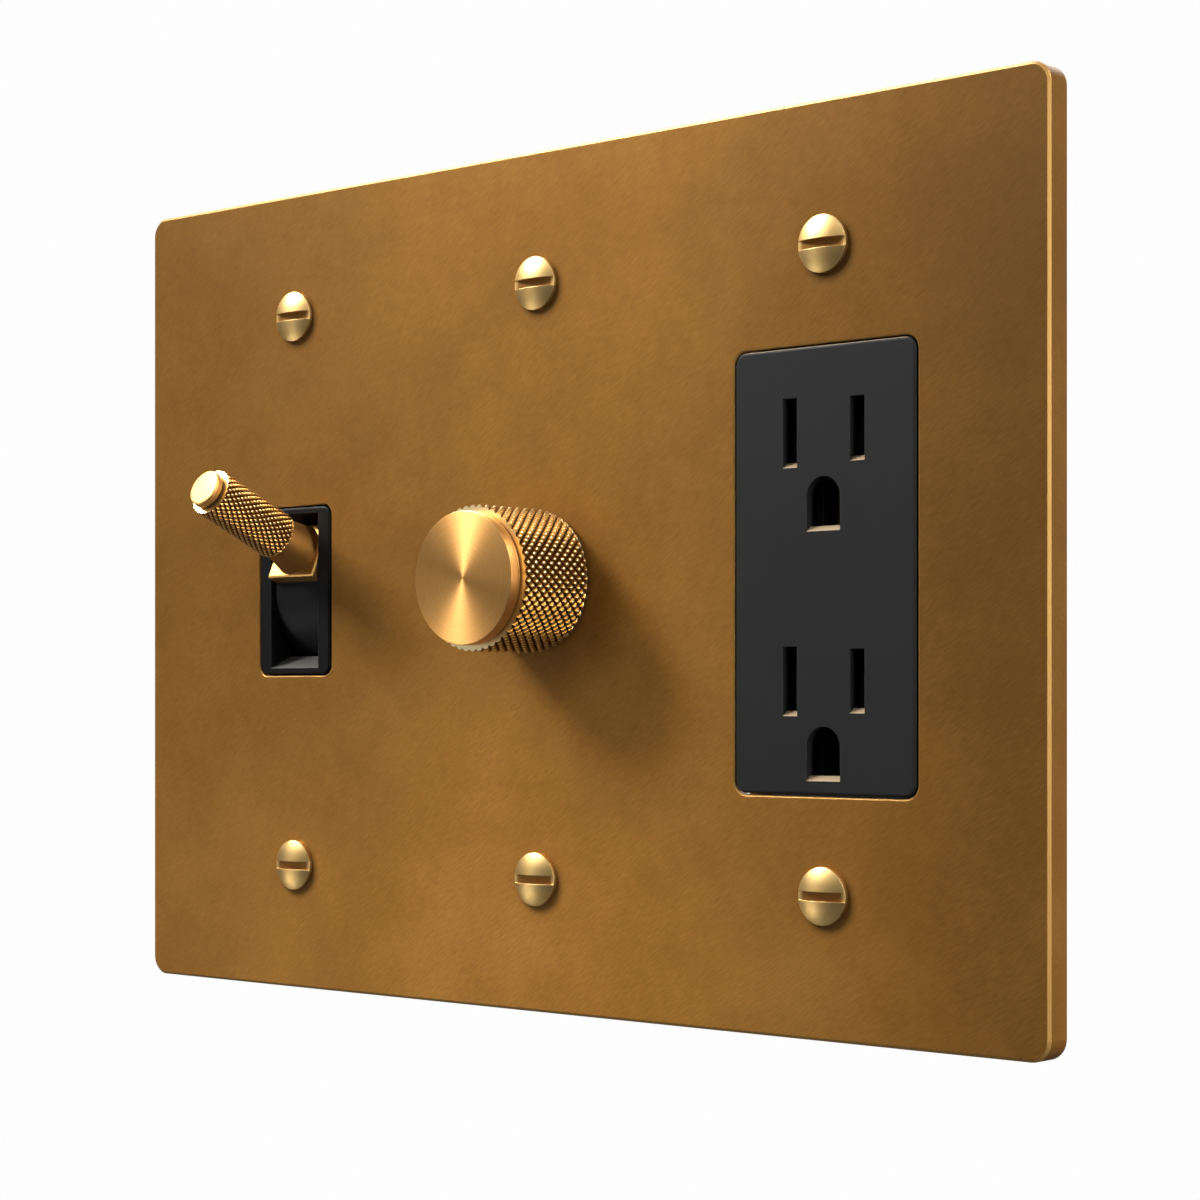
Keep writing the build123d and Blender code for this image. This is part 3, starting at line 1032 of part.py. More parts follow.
PIECES = {
    "wall_plate": wall_plate(),
    "plate_screws": plate_screws(),
    "box_screws": box_screws(),
    "toggle_strap": toggle_strap(),
    "toggle_bezel": toggle_bezel(),
    "toggle_housing": toggle_housing(),
    "toggle_rivets": rivets(lug_places(TOGGLE_X, TOGGLE_HOUSING_HEIGHT)),
    "rocker_drum": rocker_drum(),
    "lever_stem": lever_stem(),
    "lever_grip": lever_grip(),
    "lever_end_cap": lever_end_cap(),
    "lever_pivot_pin": lever_pivot_pin(),
    "snap_spring": snap_spring(),
    "contact_rocker": contact_rocker(),
    "rocker_pin": rocker_pin(),
    "line_terminal": line_terminal(),
    "load_terminal": load_terminal(),
    "toggle_terminal_screws": toggle_terminal_screws(),
    "toggle_ground_screw": ground_screw(TOGGLE_X, TOGGLE_HOUSING_WIDTH),
    "dimmer_strap": dimmer_strap(),
    "dimmer_housing": dimmer_housing(),
    "dimmer_rivets": rivets(lug_places(DIMMER_X, DIMMER_HOUSING_HEIGHT)),
    "knob_sleeve": knob_sleeve(),
    "knob_face": knob_face(),
    "dimmer_shaft": dimmer_shaft(),
    "dimmer_bushing": dimmer_bushing(),
    "bushing_nut": bushing_nut(),
    "potentiometer_case": potentiometer_case(),
    "potentiometer_wiper": potentiometer_wiper(),
    "circuit_board": circuit_board(),
    "triac": triac(),
    "choke_coil": choke_coil(),
    "film_capacitor": film_capacitor(),
    "dimmer_terminals": dimmer_terminals(),
    "dimmer_terminal_screws": dimmer_terminal_screws(),
    "dimmer_ground_screw": ground_screw(DIMMER_X, DIMMER_STRAP_WIDTH),
    "receptacle_strap": receptacle_strap(),
    "receptacle_face": receptacle_face(),
    "receptacle_body": receptacle_body(),
    "hot_contacts": hot_contacts(),
    "neutral_contacts": neutral_contacts(),
    "ground_contacts": ground_contacts(),
    "hot_terminal_screws": pole_screws(1),
    "neutral_terminal_screws": pole_screws(-1),
    "receptacle_ground_screw": ground_screw(RECEPTACLE_X, EAR_WIDTH),
    "receptacle_body_screws": receptacle_body_screws(),
}

os.makedirs("parts", exist_ok=True)
for node, shape in PIECES.items():
    solid = Compound(children=shape) if isinstance(shape, list) else shape
    export_step(solid, f"parts/{node}.step")
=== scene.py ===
"""Dresses the three-gang brass wall plate with its toggle switch, dimmer knob and receptacle.

Lengths are in metres. +X runs right along the plate, +Y into the wall and +Z up.
"""

import json
import logging
import math
from dataclasses import dataclass, field, replace
from enum import Enum

import bmesh
import bpy
import numpy as np
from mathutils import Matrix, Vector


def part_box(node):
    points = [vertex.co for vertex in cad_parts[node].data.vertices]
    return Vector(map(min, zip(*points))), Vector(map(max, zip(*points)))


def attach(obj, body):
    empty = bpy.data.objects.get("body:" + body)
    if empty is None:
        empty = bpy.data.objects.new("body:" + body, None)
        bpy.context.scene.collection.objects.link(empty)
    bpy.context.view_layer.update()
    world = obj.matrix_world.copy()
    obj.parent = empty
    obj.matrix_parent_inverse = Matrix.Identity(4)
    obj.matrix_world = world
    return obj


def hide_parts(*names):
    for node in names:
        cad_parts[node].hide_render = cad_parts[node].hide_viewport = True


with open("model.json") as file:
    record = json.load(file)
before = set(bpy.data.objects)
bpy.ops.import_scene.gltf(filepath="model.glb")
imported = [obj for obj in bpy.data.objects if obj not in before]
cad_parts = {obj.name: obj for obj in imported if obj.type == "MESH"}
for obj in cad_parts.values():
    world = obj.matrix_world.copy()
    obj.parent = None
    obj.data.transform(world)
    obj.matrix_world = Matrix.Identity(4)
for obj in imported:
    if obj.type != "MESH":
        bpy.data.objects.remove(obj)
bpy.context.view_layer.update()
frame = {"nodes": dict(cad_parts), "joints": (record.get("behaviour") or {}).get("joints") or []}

LOG = logging.getLogger("wall_plate")
MM = 0.001
SEAM = 1e-7
PLATE_HALF_WIDTH = 97 * MM
GANG_PITCH = 58 * MM
PLATE_SCREW_SPACING = 96.84 * MM
WHITE = (1.0, 1.0, 1.0, 1.0)
Triple = tuple[float, float, float]
Colour = tuple[float, float, float, float]
Measure = np.ndarray | float
Value = bpy.types.NodeSocket | float | tuple


class Slot(Enum):
    """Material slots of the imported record."""

    PLATE = "plate_brass"
    BRIGHT = "bright_brass"
    SPUN = "spun_brass"
    CONTACT = "contact_brass"
    ZINC = "zinc_steel"
    NICKEL = "nickel"
    ALUMINIUM = "aluminium"
    BEZEL = "bezel_black"
    FACE = "face_charcoal"
    HOUSING = "housing_black"
    BOARD = "board_green"
    COPPER = "copper_wire"
    CAPACITOR = "capacitor_red"
    GROUND = "ground_green"


class GrainRun(Enum):
    """Ways that brushing can run, as the turn that brings it onto the X axis."""

    ACROSS = (0.0, 0.0, 0.0)
    UPRIGHT = (0.0, math.radians(90), 0.0)
    DIAGONAL = (0.0, math.radians(32), 0.0)


def display(red: float, green: float, blue: float) -> Colour:
    """Turns a colour as a screen shows it into the linear light that shaders use.

    The curve is the standard one for screens: a straight foot and a power above it.

    Args:
        red: Screen value from 0 to 255.
        green: Screen value from 0 to 255.
        blue: Screen value from 0 to 255.

    Returns:
        Linear red, green and blue, with full alpha.
    """
    screen = np.array([red, green, blue]) / 255
    linear = np.where(screen <= 0.04045, screen / 12.92, ((screen + 0.055) / 1.055) ** 2.4)
    return (*(float(value) for value in linear), 1.0)


@dataclass(frozen=True)
class Axle:
    """A straight axis in space: where it starts, which way it runs and which way is up round it.

    Unless told otherwise it runs straight out of the wall.
    """

    origin: Triple
    along: Triple = (0.0, -1.0, 0.0)
    up: Triple = (0.0, 0.0, 1.0)

    def place(self, across: Measure, up: Measure, along: Measure) -> np.ndarray:
        """Puts local coordinates into space.

        A point is the origin plus each coordinate times its own direction, and the direction across is
        the one square to both others.

        Args:
            across: Distances across the axis.
            up: Distances upwards from the axis.
            along: Distances along the axis.

        Returns:
            Points with one more dimension than the coordinates.
        """
        axes = np.array([np.cross(self.up, self.along), self.up, self.along])
        across, up, along = np.broadcast_arrays(across, up, along)
        return np.stack([across, up, along], axis=-1) @ axes + np.array(self.origin)

    def turned(self, radius: Measure, height: Measure, angle: np.ndarray) -> np.ndarray:
        """Carries profile points round the axis.

        A point is radius times the cosine of the angle across, radius times its sine up, and height along.

        Args:
            radius: Distances from the axis.
            height: Distances along the axis.
            angle: Turns about the axis in radians.

        Returns:
            Points of the turned surface.
        """
        return self.place(radius * np.cos(angle), radius * np.sin(angle), height)

    def heights(self, mesh: bpy.types.Mesh) -> np.ndarray:
        """Measures how far along the axis each point of a mesh lies."""
        return (mesh_points(mesh) - np.array(self.origin)) @ np.array(self.along)

    def span(self, node: str) -> tuple[float, float]:
        """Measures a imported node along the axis.

        Args:
            node: Name of the node.

        Returns:
            Distances of its near and far ends from the origin.
        """
        along = self.heights(frame["nodes"][node].data)
        return float(along.min()), float(along.max())


class Shell:
    """Collects patches of surface, each a grid of points, and joins them into one closed mesh object."""

    def __init__(self) -> None:
        """Starts with no patch."""
        self.points: list[np.ndarray] = []
        self.faces: list[list[int]] = []
        self.count = 0

    def add(self, points: np.ndarray, ring: bool = False, loop: bool = False) -> None:
        """Adds a grid of points as quads between neighbours.

        Args:
            points: Grid of points, rows by columns by three.
            ring: Whether the last column joins the first.
            loop: Whether the last row joins the first.
        """
        rows, columns = points.shape[:2]
        self.add_faces(points, grid_quads(rows, columns, ring, loop))

    def add_faces(self, points: np.ndarray, faces: np.ndarray) -> None:
        """Adds points with faces that count them from nought.

        Args:
            points: Points in any grid shape.
            faces: Corner numbers, one row for each face.
        """
        flat = points.reshape(-1, 3)
        self.points.append(flat)
        self.faces += (faces + self.count).tolist()
        self.count += len(flat)

    def build(self, name: str, smooth_angle: float = 0.0) -> bpy.types.Object:
        """Makes the mesh object, with seams and poles closed and all faces turned outwards.

        Args:
            name: Name of the piece.
            smooth_angle: Edges flatter than this many degrees are shaded smooth.

        Returns:
            The object, linked into the scene.
        """
        mesh = bpy.data.meshes.new(name)
        mesh.from_pydata(np.concatenate(self.points).tolist(), [], self.faces)
        solid = bmesh.new()
        solid.from_mesh(mesh)
        bmesh.ops.remove_doubles(solid, verts=solid.verts, dist=SEAM)
        bmesh.ops.dissolve_degenerate(solid, edges=solid.edges, dist=SEAM)
        bmesh.ops.recalc_face_normals(solid, faces=solid.faces)
        solid.to_mesh(mesh)
        solid.free()
        if smooth_angle:
            mesh.shade_smooth()
            mesh.set_sharp_from_angle(angle=math.radians(smooth_angle))
        piece = bpy.data.objects.new(name, mesh)
        bpy.context.scene.collection.objects.link(piece)
        return piece


def grid_quads(rows: int, columns: int, ring: bool, loop: bool) -> np.ndarray:
    """Numbers the corners of the quads between the neighbours of a grid.

    Args:
        rows: Rows of grid points.
        columns: Points in a row.
        ring: Whether the last column joins the first.
        loop: Whether the last row joins the first.

    Returns:
        Four corner numbers for each quad.
    """
    row, column = np.meshgrid(np.arange(rows if loop else rows - 1),
                              np.arange(columns if ring else columns - 1), indexing="ij")
    next_row, next_column = (row + 1) % rows, (column + 1) % columns
    corners = [row * columns + column, row * columns + next_column,
               next_row * columns + next_column, next_row * columns + column]
    return np.stack(corners, axis=-1).reshape(-1, 4)


def split_quads(quads: np.ndarray, from_first: np.ndarray) -> np.ndarray:
    """Cuts each quad into two triangles along the chosen diagonal.

    Args:
        quads: Four corner numbers for each quad.
        from_first: Whether the cut starts at the first corner or at the second.

    Returns:
        Three corner numbers for each triangle.
    """
    a, b, c, d = quads.T
    first = np.stack([a, b, c, a, c, d], axis=-1)
    second = np.stack([a, b, d, b, c, d], axis=-1)
    return np.where(from_first[:, None], first, second).reshape(-1, 3)


def eased_profile(corners: list[tuple[float, float]], ease: float, steps: int = 5) -> np.ndarray:
    """Rounds the inner corners of an open outline.

    Each corner becomes a parabola between the two points that lie the ease, or at most half a leg, away
    from it on its legs.

    Args:
        corners: Radius and height of each corner.
        ease: How far the rounding reaches from a corner.
        steps: Points on each rounding.

    Returns:
        Radius and height of each outline point.
    """
    outline = np.array(corners)
    legs = np.diff(outline, axis=0)
    lengths = np.linalg.norm(legs, axis=1, keepdims=True)
    reach = np.minimum(ease, lengths / 2) * legs / lengths
    before, corner, after = outline[1:-1] - reach[:-1], outline[1:-1], outline[1:-1] + reach[1:]
    t = np.linspace(0, 1, steps)[:, None, None]
    arcs = (1 - t) ** 2 * before + 2 * t * (1 - t) * corner + t**2 * after
    return np.concatenate([outline[:1], arcs.transpose(1, 0, 2).reshape(-1, 2), outline[-1:]])


def mesh_points(mesh: bpy.types.Mesh) -> np.ndarray:
    """Reads the places of a mesh's points.

    Args:
        mesh: The mesh.

    Returns:
        One row of three coordinates for each point.
    """
    points = np.empty(len(mesh.vertices) * 3)
    mesh.vertices.foreach_get("co", points)
    return points.reshape(-1, 3)


def store(piece: bpy.types.Object, name: str, values: np.ndarray) -> None:
    """Stores one number for each point of a piece as a named attribute."""
    attribute = piece.data.attributes.new(name, "FLOAT", "POINT")
    attribute.data.foreach_set("value", values)


def whole_numbers(items: bpy.types.bpy_prop_collection, name: str) -> np.ndarray:
    """Reads one whole number from each loop or face of a mesh.

    Args:
        items: The loops or the faces.
        name: Which of their numbers is read.

    Returns:
        The numbers in order.
    """
    numbers = np.empty(len(items), dtype=int)
    items.foreach_get(name, numbers)
    return numbers


def wrap_uv(piece: bpy.types.Object, axle: Axle) -> None:
    """Gives a turned piece a UV map whose U runs round its axis and V from the axis outwards.

    U is a corner's angle in turns. It is brought within half a turn of its face's middle, so no face runs
    back over the seam, and a corner on the axis takes the middle's angle.

    Args:
        piece: The turned piece.
        axle: Its axis.
    """
    mesh = piece.data
    corner = whole_numbers(mesh.loops, "vertex_index")
    sides = whole_numbers(mesh.polygons, "loop_total")
    local = mesh_points(mesh) - np.array(axle.origin)
    across, up = local @ np.cross(axle.up, axle.along), local @ np.array(axle.up)
    radius = np.hypot(across, up)[corner]
    u = (np.arctan2(up, across) / math.tau)[corner]
    face = np.repeat(np.arange(len(sides)), sides)
    mean_x = np.bincount(face, np.cos(math.tau * u) * radius)
    mean_y = np.bincount(face, np.sin(math.tau * u) * radius)
    middle = (np.arctan2(mean_y, mean_x) / math.tau)[face]
    u = np.where(radius < SEAM, middle, middle + (u - middle + 0.5) % 1 - 0.5)
    uv = mesh.uv_layers.new(name="turning")
    uv.data.foreach_set("uv", np.stack([u, radius / radius.max()], axis=-1).ravel())


@dataclass(frozen=True)
class Fade:
    """A smooth change from one tone to another between two measures."""

    start: float
    end: float
    from_tone: float
    to_tone: float


class Graph:
    """Adds and joins shader nodes in one node tree."""

    def __init__(self, tree: bpy.types.NodeTree) -> None:
        """Keeps the tree that nodes go into."""
        self.tree = tree

    def add(self, kind: str, inputs: dict[str | int, Value] | None = None,
            **settings: object) -> bpy.types.Node:
        """Adds a node, sets its options, and sets or joins its inputs.

        Args:
            kind: The node's type name without its ShaderNode prefix.
            inputs: Values or output sockets, by the input's name or number.
            settings: The node's own options.

        Returns:
            The new node.
        """
        node = self.tree.nodes.new("ShaderNode" + kind)
        for name, value in settings.items():
            setattr(node, name, value)
        self.feed(node, inputs or {})
        return node

    def feed(self, node: bpy.types.Node, inputs: dict[str | int, Value]) -> None:
        """Sets or joins a node's inputs.

        Args:
            node: The node.
            inputs: Values or output sockets, by the input's name or number.
        """
        for key, value in inputs.items():
            if isinstance(value, bpy.types.NodeSocket):
                self.tree.links.new(value, node.inputs[key])
            else:
                node.inputs[key].default_value = value

    def calc(self, operation: str, *values: Value, clamp: bool = False) -> bpy.types.NodeSocket:
        """Adds a Math node and returns its result."""
        node = self.add("Math", dict(enumerate(values)), operation=operation, use_clamp=clamp)
        return node.outputs[0]

    def vector(self, operation: str, *values: Value) -> bpy.types.NodeSocket:
        """Adds a Vector Math node and returns its vector."""
        return self.add("VectorMath", dict(enumerate(values)), operation=operation).outputs[0]

    def measure(self, operation: str, *values: Value) -> bpy.types.NodeSocket:
        """Adds a Vector Math node and returns its number."""
        return self.add("VectorMath", dict(enumerate(values)), operation=operation).outputs["Value"]

    def fade(self, value: Value, fade: Fade) -> bpy.types.NodeSocket:
        """Adds a smooth Map Range node and returns its result."""
        limits = {0: value, 1: fade.start, 2: fade.end, 3: fade.from_tone, 4: fade.to_tone}
        return self.add("MapRange", limits, interpolation_type="SMOOTHSTEP").outputs[0]

    def mask(self, value: Value, none: float, full: float) -> bpy.types.NodeSocket:
        """Fades from nought to one between two values."""
        return self.fade(value, Fade(none, full, 0.0, 1.0))

    def blend(self, factor: Value, first: Value, second: Value) -> bpy.types.NodeSocket:
        """Adds a colour Mix node and returns its result."""
        return self.add("Mix", {0: factor, 6: first, 7: second}, data_type="RGBA").outputs[2]

    def noise(self, vector: Value, scale: Value, detail: float,
              roughness: float = 0.55) -> bpy.types.NodeSocket:
        """Adds a Noise Texture node and returns its value."""
        inputs = {"Vector": vector, "Scale": scale, "Detail": detail, "Roughness": roughness}
        return self.add("TexNoise", inputs).outputs[0]

    def bump(self, height: Value, strength: float, distance: float, normal: Value) -> bpy.types.NodeSocket:
        """Adds a Bump node and returns its normal."""
        inputs = {"Height": height, "Strength": strength, "Distance": distance, "Normal": normal}
        return self.add("Bump", inputs).outputs[0]

    def turn(self, vector: Value, rotation: Triple) -> bpy.types.NodeSocket:
        """Adds a Mapping node that turns a vector and returns its result."""
        return self.add("Mapping", {"Vector": vector, "Rotation": rotation}).outputs[0]

    def axes(self, vector: Value) -> bpy.types.NodeOutputs:
        """Adds a Separate XYZ node and returns its three outputs."""
        return self.add("SeparateXYZ", {0: vector}).outputs

    def normal(self) -> bpy.types.NodeSocket:
        """Gives the way that the surface faces, in the piece's own axes."""
        return self.add("TexCoord").outputs["Normal"]

    def attribute(self, name: str) -> bpy.types.NodeSocket:
        """Reads one of the piece's attributes as a number."""
        return self.add("Attribute", attribute_name=name).outputs["Fac"]

    def effect(self, effect: "Effect", inputs: dict[str, Value]) -> bpy.types.NodeOutputs:
        """Adds a shared effect as a group node, sets or joins its inputs and returns its outputs."""
        node = self.add("Group", node_tree=effect.tree())
        self.feed(node, inputs)
        return node.outputs


def blank_graph(owner: bpy.types.Material | bpy.types.World) -> Graph:
    """Clears the shader nodes of a material or a world and gives the graph for new ones."""
    owner.use_nodes = True
    owner.node_tree.nodes.clear()
    return Graph(owner.node_tree)


class EffectGraph(Graph):
    """A graph in a shader node group with named sockets."""

    def __init__(self, name: str, inputs: dict[str, float | None], outputs: dict[str, str]) -> None:
        """Starts the group.

        Args:
            name: Name of the group.
            inputs: Default of each number, or None for a vector.
            outputs: Socket kind of each output, such as Float or Vector.
        """
        super().__init__(bpy.data.node_groups.new(name, "ShaderNodeTree"))
        for label, default in inputs.items():
            kind = "NodeSocketVector" if default is None else "NodeSocketFloat"
            socket = self.tree.interface.new_socket(label, in_out="INPUT", socket_type=kind)
            if default is not None:
                socket.default_value = default
        for label, kind in outputs.items():
            self.tree.interface.new_socket(label, in_out="OUTPUT", socket_type="NodeSocket" + kind)
        self.given = self.tree.nodes.new("NodeGroupInput").outputs
        self.wanted = self.tree.nodes.new("NodeGroupOutput").inputs

    def close(self, **results: bpy.types.NodeSocket) -> bpy.types.NodeTree:
        """Joins the results to the group's outputs and gives its tree."""
        for label, result in results.items():
            self.tree.links.new(result, self.wanted[label])
        return self.tree


class Effect(Enum):
    """Surface effects that several finishes share, each one shader node group."""

    BRUSHING = "brush_strokes"
    CLOUDS = "patina_clouds"
    EDGES = "edge_wear"
    GRAIN = "moulded_grain"
    DUST = "settled_dust"
    RINGS = "turning_rings"

    def tree(self) -> bpy.types.NodeTree:
        """Gives the effect's node group and builds it at its first use."""
        found = bpy.data.node_groups.get(self.value)
        return found or EFFECT_BUILDERS[self](self.value)


def brush_strokes(name: str) -> bpy.types.NodeTree:
    """Builds short overlapping strokes along X and a few longer scratches, from noise drawn out along X.

    Args:
        name: Name of the group.

    Returns:
        The group, with the strokes' tone and the scratches' mask.
    """
    group = EffectGraph(name, {"Vector": None, "Fineness": 2500.0, "Length": 12.0},
                        {"Strokes": "Float", "Scratches": "Float"})
    squeeze = group.calc("DIVIDE", 1.0, group.given["Length"])
    drawn = group.add("CombineXYZ", {0: squeeze, 1: 1.0, 2: 1.0}).outputs[0]
    vector = group.vector("MULTIPLY", group.given["Vector"], drawn)
    coarser = group.calc("MULTIPLY", group.given["Fineness"], 0.37)
    strokes = group.noise(vector, group.given["Fineness"], detail=3.0, roughness=0.6)
    scratches = group.noise(vector, coarser, detail=2.0, roughness=0.7)
    return group.close(Strokes=group.mask(strokes, none=0.3, full=0.7),
                       Scratches=group.mask(scratches, none=0.6, full=0.74))


def patina_clouds(name: str) -> bpy.types.NodeTree:
    """Builds soft uneven clouds from two sizes of noise.

    Args:
        name: Name of the group.

    Returns:
        The group, with the cloud mask.
    """
    group = EffectGraph(name, {"Vector": None, "Size": 30 * MM}, {"Clouds": "Float"})
    scale = group.calc("DIVIDE", 1.0, group.given["Size"])
    finer = group.calc("MULTIPLY", scale, 5.0)
    broad = group.noise(group.given["Vector"], scale, detail=3.0)
    fine = group.noise(group.given["Vector"], finer, detail=4.0, roughness=0.65)
    both = group.calc("MULTIPLY_ADD", fine, 0.35, group.calc("MULTIPLY", broad, 0.65))
    return group.close(Clouds=group.mask(both, none=0.34, full=0.66))


def edge_wear(name: str) -> bpy.types.NodeTree:
    """Builds worn edges: where a rounded normal leaves the true one, broken up by noise.

    Args:
        name: Name of the group.

    Returns:
        The group, with the wear mask and the rounded normal.
    """
    group = EffectGraph(name, {"Vector": None, "Radius": 0.2 * MM, "Breakup": 900.0},
                        {"Wear": "Float", "Normal": "Vector"})
    rounded = group.add("Bevel", {"Radius": group.given["Radius"]}, samples=6).outputs[0]
    true_normal = group.add("NewGeometry").outputs["Normal"]
    bend = group.mask(group.measure("DOT_PRODUCT", rounded, true_normal), none=0.99, full=0.86)
    specks = group.noise(group.given["Vector"], group.given["Breakup"], detail=3.0)
    broken = group.fade(specks, Fade(0.3, 0.6, 0.35, 1.0))
    return group.close(Wear=group.calc("MULTIPLY", bend, broken), Normal=rounded)


def moulded_grain(name: str) -> bpy.types.NodeTree:
    """Builds the pebbled skin of moulded plastic from cells softened by noise.

    Args:
        name: Name of the group.

    Returns:
        The group, with the skin's height and its slow change of tone.
    """
    group = EffectGraph(name, {"Vector": None, "Pebble": 0.3 * MM}, {"Height": "Float", "Tone": "Float"})
    vector = group.given["Vector"]
    scale = group.calc("DIVIDE", 1.0, group.given["Pebble"])
    slow = group.calc("MULTIPLY", scale, 0.02)
    cells = group.add("TexVoronoi", {"Vector": vector, "Scale": scale}, feature="SMOOTH_F1")
    fine = group.noise(vector, scale, detail=4.0, roughness=0.6)
    height = group.calc("MULTIPLY_ADD", cells.outputs["Distance"], 0.5, group.calc("MULTIPLY", fine, 0.5))
    tone = group.noise(vector, slow, detail=4.0)
    return group.close(Height=height, Tone=group.mask(tone, none=0.3, full=0.7))


def settled_dust(name: str) -> bpy.types.NodeTree:
    """Builds a thin film of dust: specks of noise, thicker where a face looks up.

    Args:
        name: Name of the group.

    Returns:
        The group, with the dust mask.
    """
    group = EffectGraph(name, {"Vector": None, "Amount": 0.2}, {"Dust": "Float"})
    facing_up = group.axes(group.normal())["Z"]
    lying = group.fade(facing_up, Fade(-0.2, 1.0, 0.15, 1.0))
    grains = group.noise(group.given["Vector"], scale=700.0, detail=6.0, roughness=0.75)
    film = group.calc("MULTIPLY", lying, group.mask(grains, none=0.5, full=0.75))
    return group.close(Dust=group.calc("MULTIPLY", film, group.given["Amount"], clamp=True))


def turning_rings(name: str) -> bpy.types.NodeTree:
    """Builds fine rings round the Z axis of its vector, from noise along the distance to that axis.

    Args:
        name: Name of the group.

    Returns:
        The group, with the rings' tone.
    """
    group = EffectGraph(name, {"Vector": None, "Pitch": 0.2 * MM}, {"Rings": "Float"})
    flat = group.vector("MULTIPLY", group.given["Vector"], (1.0, 1.0, 0.0))
    steps = group.calc("DIVIDE", group.measure("LENGTH", flat), group.given["Pitch"])
    inputs = {"W": steps, "Scale": 1.0, "Detail": 2.0}
    rings = group.add("TexNoise", inputs, noise_dimensions="1D").outputs[0]
    return group.close(Rings=group.mask(rings, none=0.25, full=0.75))


EFFECT_BUILDERS = {
    Effect.BRUSHING: brush_strokes,
    Effect.CLOUDS: patina_clouds,
    Effect.EDGES: edge_wear,
    Effect.GRAIN: moulded_grain,
    Effect.DUST: settled_dust,
    Effect.RINGS: turning_rings,
}


@dataclass(frozen=True)
class Finish:
    """What every finish has: the record's slot that it dresses and the name of its material."""

    slot: Slot
    name: str

    def material(self) -> bpy.types.Material:
        """Gives the finish's material and builds it at its first use."""
        return bpy.data.materials.get(self.name) or self.build()

    def build(self) -> bpy.types.Material:
        """Builds the material."""
        raise NotImplementedError

    def start(self) -> tuple[bpy.types.Material, Graph, bpy.types.Node, bpy.types.NodeSocket]:
        """Starts a material with one Principled shader.

        Returns:
            The material, its graph, the shader and the Object coordinates.
        """
        material = bpy.data.materials.new(self.name)
        graph = blank_graph(material)
        shader = graph.add("BsdfPrincipled")
        graph.add("OutputMaterial", {"Surface": shader.outputs[0]})
        return material, graph, shader, graph.add("TexCoord").outputs["Object"]


